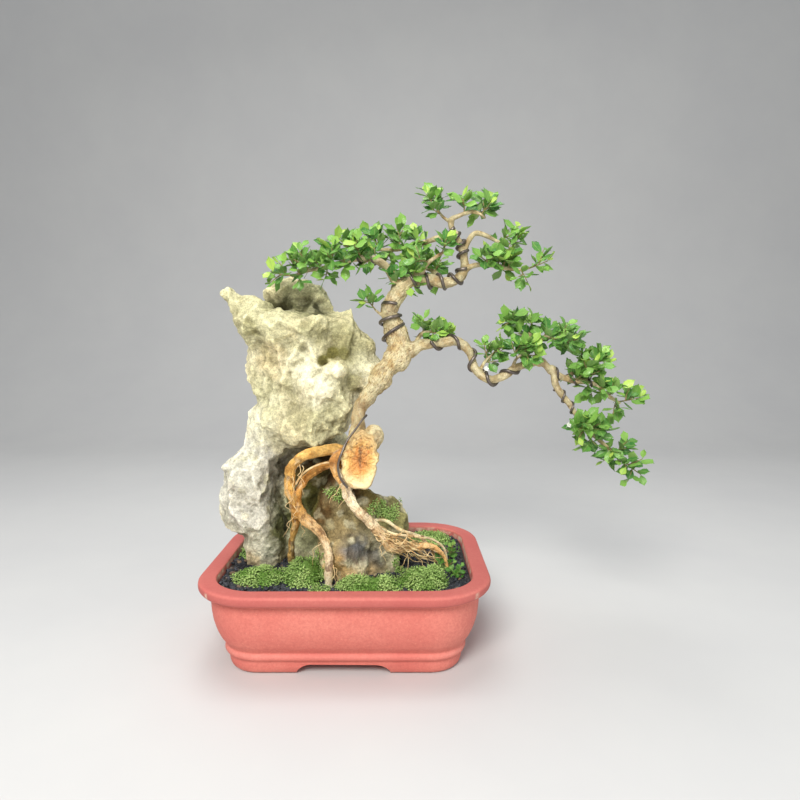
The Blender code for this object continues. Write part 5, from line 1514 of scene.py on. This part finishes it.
def moss_cushion(place, reach, limit_x, limit_y):
    """The closed mound that a patch's fronds stand on."""
    x0, y0 = place[:2]
    bm = bmesh.new()
    bmesh.ops.create_grid(bm, x_segments=44, y_segments=44, size=1.0)
    for v in bm.verts:
        x, y = x0 + v.co.x * reach, y0 + v.co.y * reach
        x = max(-limit_x, min(limit_x, x))
        y = max(-limit_y, min(limit_y, y))
        top = patch_top(place, x, y)
        bump = soft_noise(np.array([[x / 6, y / 6, 2.0]]), 82)[0]
        v.co = planted(x, y, top * (0.78 + 0.16 * bump) - 1.6)
    ring = [e for e in bm.edges if e.is_boundary]
    skirt = bmesh.ops.extrude_edge_only(bm, edges=ring)["geom"]
    for v in skirt:
        if isinstance(v, bmesh.types.BMVert):
            v.co.z = SOIL_TOP - 0.004
    bmesh.ops.holes_fill(bm, edges=[e for e in bm.edges if e.is_boundary])
    bmesh.ops.recalc_face_normals(bm, faces=bm.faces)
    return bm


def build_moss_patch(name, place, finish):
    chance = random.Random(name)
    x0, y0, reach_x, reach_y, height, _ = place
    soup = Soup()
    reach = max(reach_x, reach_y) * 1.05
    limit_x = (POT_LENGTH / 2 - SOIL_INSET) / MM
    limit_y = (POT_WIDTH / 2 - SOIL_INSET) / MM
    step = MOSS_SPACING / MM
    count = int(2 * reach / step)
    for i in range(count):
        for j in range(count):
            x = x0 - reach + i * step + chance.uniform(-0.6, 0.6) * step
            y = y0 - reach + j * step + chance.uniform(-0.6, 0.6) * step
            top = patch_top(place, x, y)
            if top <= 0 or abs(x) > limit_x or abs(y) > limit_y:
                continue
            clump = soft_noise(np.array([[x / 9, y / 9, height]]), 81)[0]
            lift = top * (0.72 + 0.30 * clump)
            lean = Vector((x - x0, y - y0, 0)) / max(reach_x, reach_y)
            stray = Vector((chance.uniform(-0.4, 0.4), chance.uniform(-0.5, 0.3), 0))
            up = (Vector((0, 0, 1)) + lean * 0.7 + stray).normalized()
            tone = min(1.0, max(0.0, 0.5 + 0.9 * clump + chance.uniform(-0.25, 0.3)))
            frond(soup, chance, planted(x, y, lift - 1.2), up, chance.uniform(3.2, 6.4) * MM, tone)
    soup.take(moss_cushion(place, reach, limit_x, limit_y), tone=0.25, tip=0.12)
    add_piece(name.replace("moss", "green"), soup.mesh(name), finish, [name])


def build_tufts(rock_faces, finish):
    soup = Soup()
    for (x, y, z), reach, fronds in TUFTS:
        for _ in range(fronds):
            angle, far = random.uniform(0, ALL_ROUND), reach * math.sqrt(random.random())
            px, pz = x + far * math.cos(angle), z + far * 0.8 * math.sin(angle)
            sign = -1 if y < 0 else 1
            start = Vector((planted(px, 0, 0).x, 0.2 * sign, planted(0, 0, pz).z))
            hit, normal, _, _ = rock_faces.ray_cast(start, Vector((0, -sign, 0)))
            if hit is None or pz < 0 or abs(hit.y - planted(0, y, 0).y) > 0.02:
                px, py = x + far * math.cos(angle), y + far * math.sin(angle)
                base, normal = planted(px, py, 0.5), Vector((0, 0, 1))
            else:
                base = hit - normal * 0.0008
            up = (normal + Vector((0, 0, 0.6))).normalized()
            size = random.uniform(2.2, 5.4) * MM
            frond(soup, random, base, up, size, min(1.0, random.uniform(0.2, 1.1)))
    add_piece("green_tufts", soup.mesh("green_tufts"), finish)


def build_moss(rock_faces):
    finish = moss_finish()
    for name, place in MOSS.items():
        build_moss_patch(name, place, finish)
    random.seed("moss")
    build_tufts(rock_faces, finish)


def granule(chance):
    bm = bmesh.new()
    bmesh.ops.create_icosphere(bm, subdivisions=1, radius=1.0)
    stretch = Vector((chance.uniform(0.8, 1.3), chance.uniform(0.8, 1.2), chance.uniform(0.6, 0.95)))
    points = []
    for v in bm.verts:
        size = chance.uniform(0.78, 1.18)
        points.append([v.co.x * stretch.x * size, v.co.y * stretch.y * size, v.co.z * stretch.z * size])
    faces = [tuple(v.index for v in f.verts) for f in bm.faces]
    bm.free()
    return np.array(points), faces


def build_soil():
    """Black crushed granules over the whole surface, as the grower's potting mix."""
    chance = random.Random("soil")
    kinds = [granule(chance) for _ in range(14)]
    soup = Soup()
    half_x, half_y = POT_LENGTH / 2 - SOIL_INSET, POT_WIDTH / 2 - SOIL_INSET
    corner = CORNER_RADIUS - SOIL_INSET
    rows = int(2 * half_x / GRAIN_SPACING), int(2 * half_y / GRAIN_SPACING)
    for layer in (0, 1):
        for i in range(rows[0] + 1):
            for j in range(rows[1] + 1):
                if layer and chance.random() > 0.45:
                    continue
                x = -half_x + (i + chance.uniform(-0.5, 0.5)) * GRAIN_SPACING
                y = -half_y + (j + chance.uniform(-0.5, 0.5)) * GRAIN_SPACING
                over_x, over_y = abs(x) - (half_x - corner), abs(y) - (half_y - corner)
                if abs(x) > half_x or abs(y) > half_y:
                    continue
                if over_x > 0 and over_y > 0 and math.hypot(over_x, over_y) > corner:
                    continue
                size = chance.uniform(0.45, 0.78) * GRAIN_SPACING * (0.8 if layer else 1.0)
                z = SOIL_TOP + 0.2 * size + layer * 0.0014 + chance.uniform(-0.3, 0.4) * MM
                points, faces = kinds[chance.randrange(len(kinds))]
                turn = Matrix.Rotation(chance.uniform(0, ALL_ROUND), 3, "Z")
                turn = turn @ Matrix.Rotation(chance.uniform(-0.8, 0.8), 3, "X")
                placed = points * size @ np.array(turn).T + np.array(POT_MIDDLE + Vector((x, y, z)))
                soup.add(placed, faces, 0, tone=chance.random())
    add_piece("soil_granules", soup.mesh("soil_granules"), grain_finish(), smooth=False)


# ---------------------------------------------------------------- what the CAD part keeps


def finish_kept_nodes():
    dark = simple_finish("soil_mass", srgb(34, 34, 36), srgb(62, 54, 46), 0.95, 90)
    grit = simple_finish("drainage_grit", srgb(158, 124, 92), srgb(112, 88, 66), 0.95, 120)
    plastic = simple_finish("black_mesh", srgb(30, 30, 32), srgb(48, 48, 50), 0.45, 200)
    metal = simple_finish("staple_wire", srgb(120, 112, 104), srgb(90, 84, 80), 0.35, 200, 0.9)
    kept = {
        "soil": (dark, "soil"), "drainage_gravel": (grit, "grit"),
        "drain_mesh_left": (plastic, "mesh_plastic"), "drain_mesh_right": (plastic, "mesh_plastic"),
        "drain_staple_left": (metal, "wire_metal"), "drain_staple_right": (metal, "wire_metal"),
    }
    for name, (finish, slot) in kept.items():
        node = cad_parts[name]
        node.data.materials.clear()
        node.data.materials.append(finish)


# ---------------------------------------------------------------- studio


# The camera's place from the pot's middle, how far it looks down, and its lens, as in the photograph
CAMERA_ASIDE, CAMERA_BACK, CAMERA_HEIGHT = 0.049, 0.589, 0.290
CAMERA_DOWN = math.atan(0.1)
CAMERA_LENS, CAMERA_SENSOR = 27.9, 36.0
LAMPS = (
    ("key", (-0.35, -1.25, 1.15), 0.6, 25.0, (1.0, 0.985, 0.96)),
    ("fill", (1.3, -0.9, 0.7), 1.3, 5.0, (0.94, 0.97, 1.0)),
    ("top", (-0.2, 0.15, 1.6), 0.9, 12.0, (0.97, 0.985, 1.0)),
)


def build_studio():
    """A pale sweep of floor and wall, three soft lamps and the camera."""
    profile = [(-1.6, 0.0), (1.0, 0.0)]
    for step in range(1, 13):
        turn = math.pi / 2 * step / 12
        profile.append((1.0 + 0.8 * math.sin(turn), 0.8 * (1 - math.cos(turn))))
    profile.append((1.8, 3.0))
    points = [(x, y, z) for y, z in profile for x in (-4.0, 4.0)]
    faces = [(2 * i, 2 * i + 1, 2 * i + 3, 2 * i + 2) for i in range(len(profile) - 1)]
    mesh = bpy.data.meshes.new("sweep")
    mesh.from_pydata(points, [], faces)
    mesh.shade_smooth()
    floor = helper_object(mesh)
    floor.name = "floor"
    pale, grey = srgb(206, 205, 202), srgb(202, 201, 199)
    mesh.materials.append(simple_finish("paper", pale, grey, 0.9, 3, 0.0, 0.0001))

    middle = Vector((0.0, 0.0, 0.2))
    for name, place, size, power, colour in LAMPS:
        lamp = bpy.data.lights.new(name, "AREA")
        lamp.size = size
        lamp.energy = power
        lamp.color = colour
        obj = bpy.data.objects.new(name, lamp)
        bpy.context.scene.collection.objects.link(obj)
        obj.location = place
        obj.rotation_euler = (middle - Vector(place)).to_track_quat("-Z", "Y").to_euler()

    world = bpy.data.worlds.new("studio")
    world.use_nodes = True
    back = world.node_tree.nodes["Background"]
    back.inputs["Color"].default_value = (0.90, 0.94, 1.0, 1.0)
    back.inputs["Strength"].default_value = 0.42
    bpy.context.scene.world = world
    bpy.context.scene.view_settings.view_transform = "Standard"

    camera = bpy.data.cameras.new("camera")
    camera.lens = CAMERA_LENS
    camera.sensor_width = CAMERA_SENSOR
    obj = bpy.data.objects.new("camera", camera)
    bpy.context.scene.collection.objects.link(obj)
    obj.location = (POT_MIDDLE.x + CAMERA_ASIDE, POT_MIDDLE.y - CAMERA_BACK, CAMERA_HEIGHT)
    obj.rotation_euler = (math.pi / 2 - CAMERA_DOWN, 0.0, 0.0)
    bpy.context.scene.camera = obj


build_pot()
rock = build_rock()
rock_faces = BVHTree.FromObject(rock, bpy.context.evaluated_depsgraph_get())
build_wood(rock_faces)
build_saw_cut()
build_hair_roots(rock_faces)
build_wires()
build_foliage()
build_buds()
build_weeds()
build_moss(rock_faces)
build_soil()
finish_kept_nodes()
build_studio()
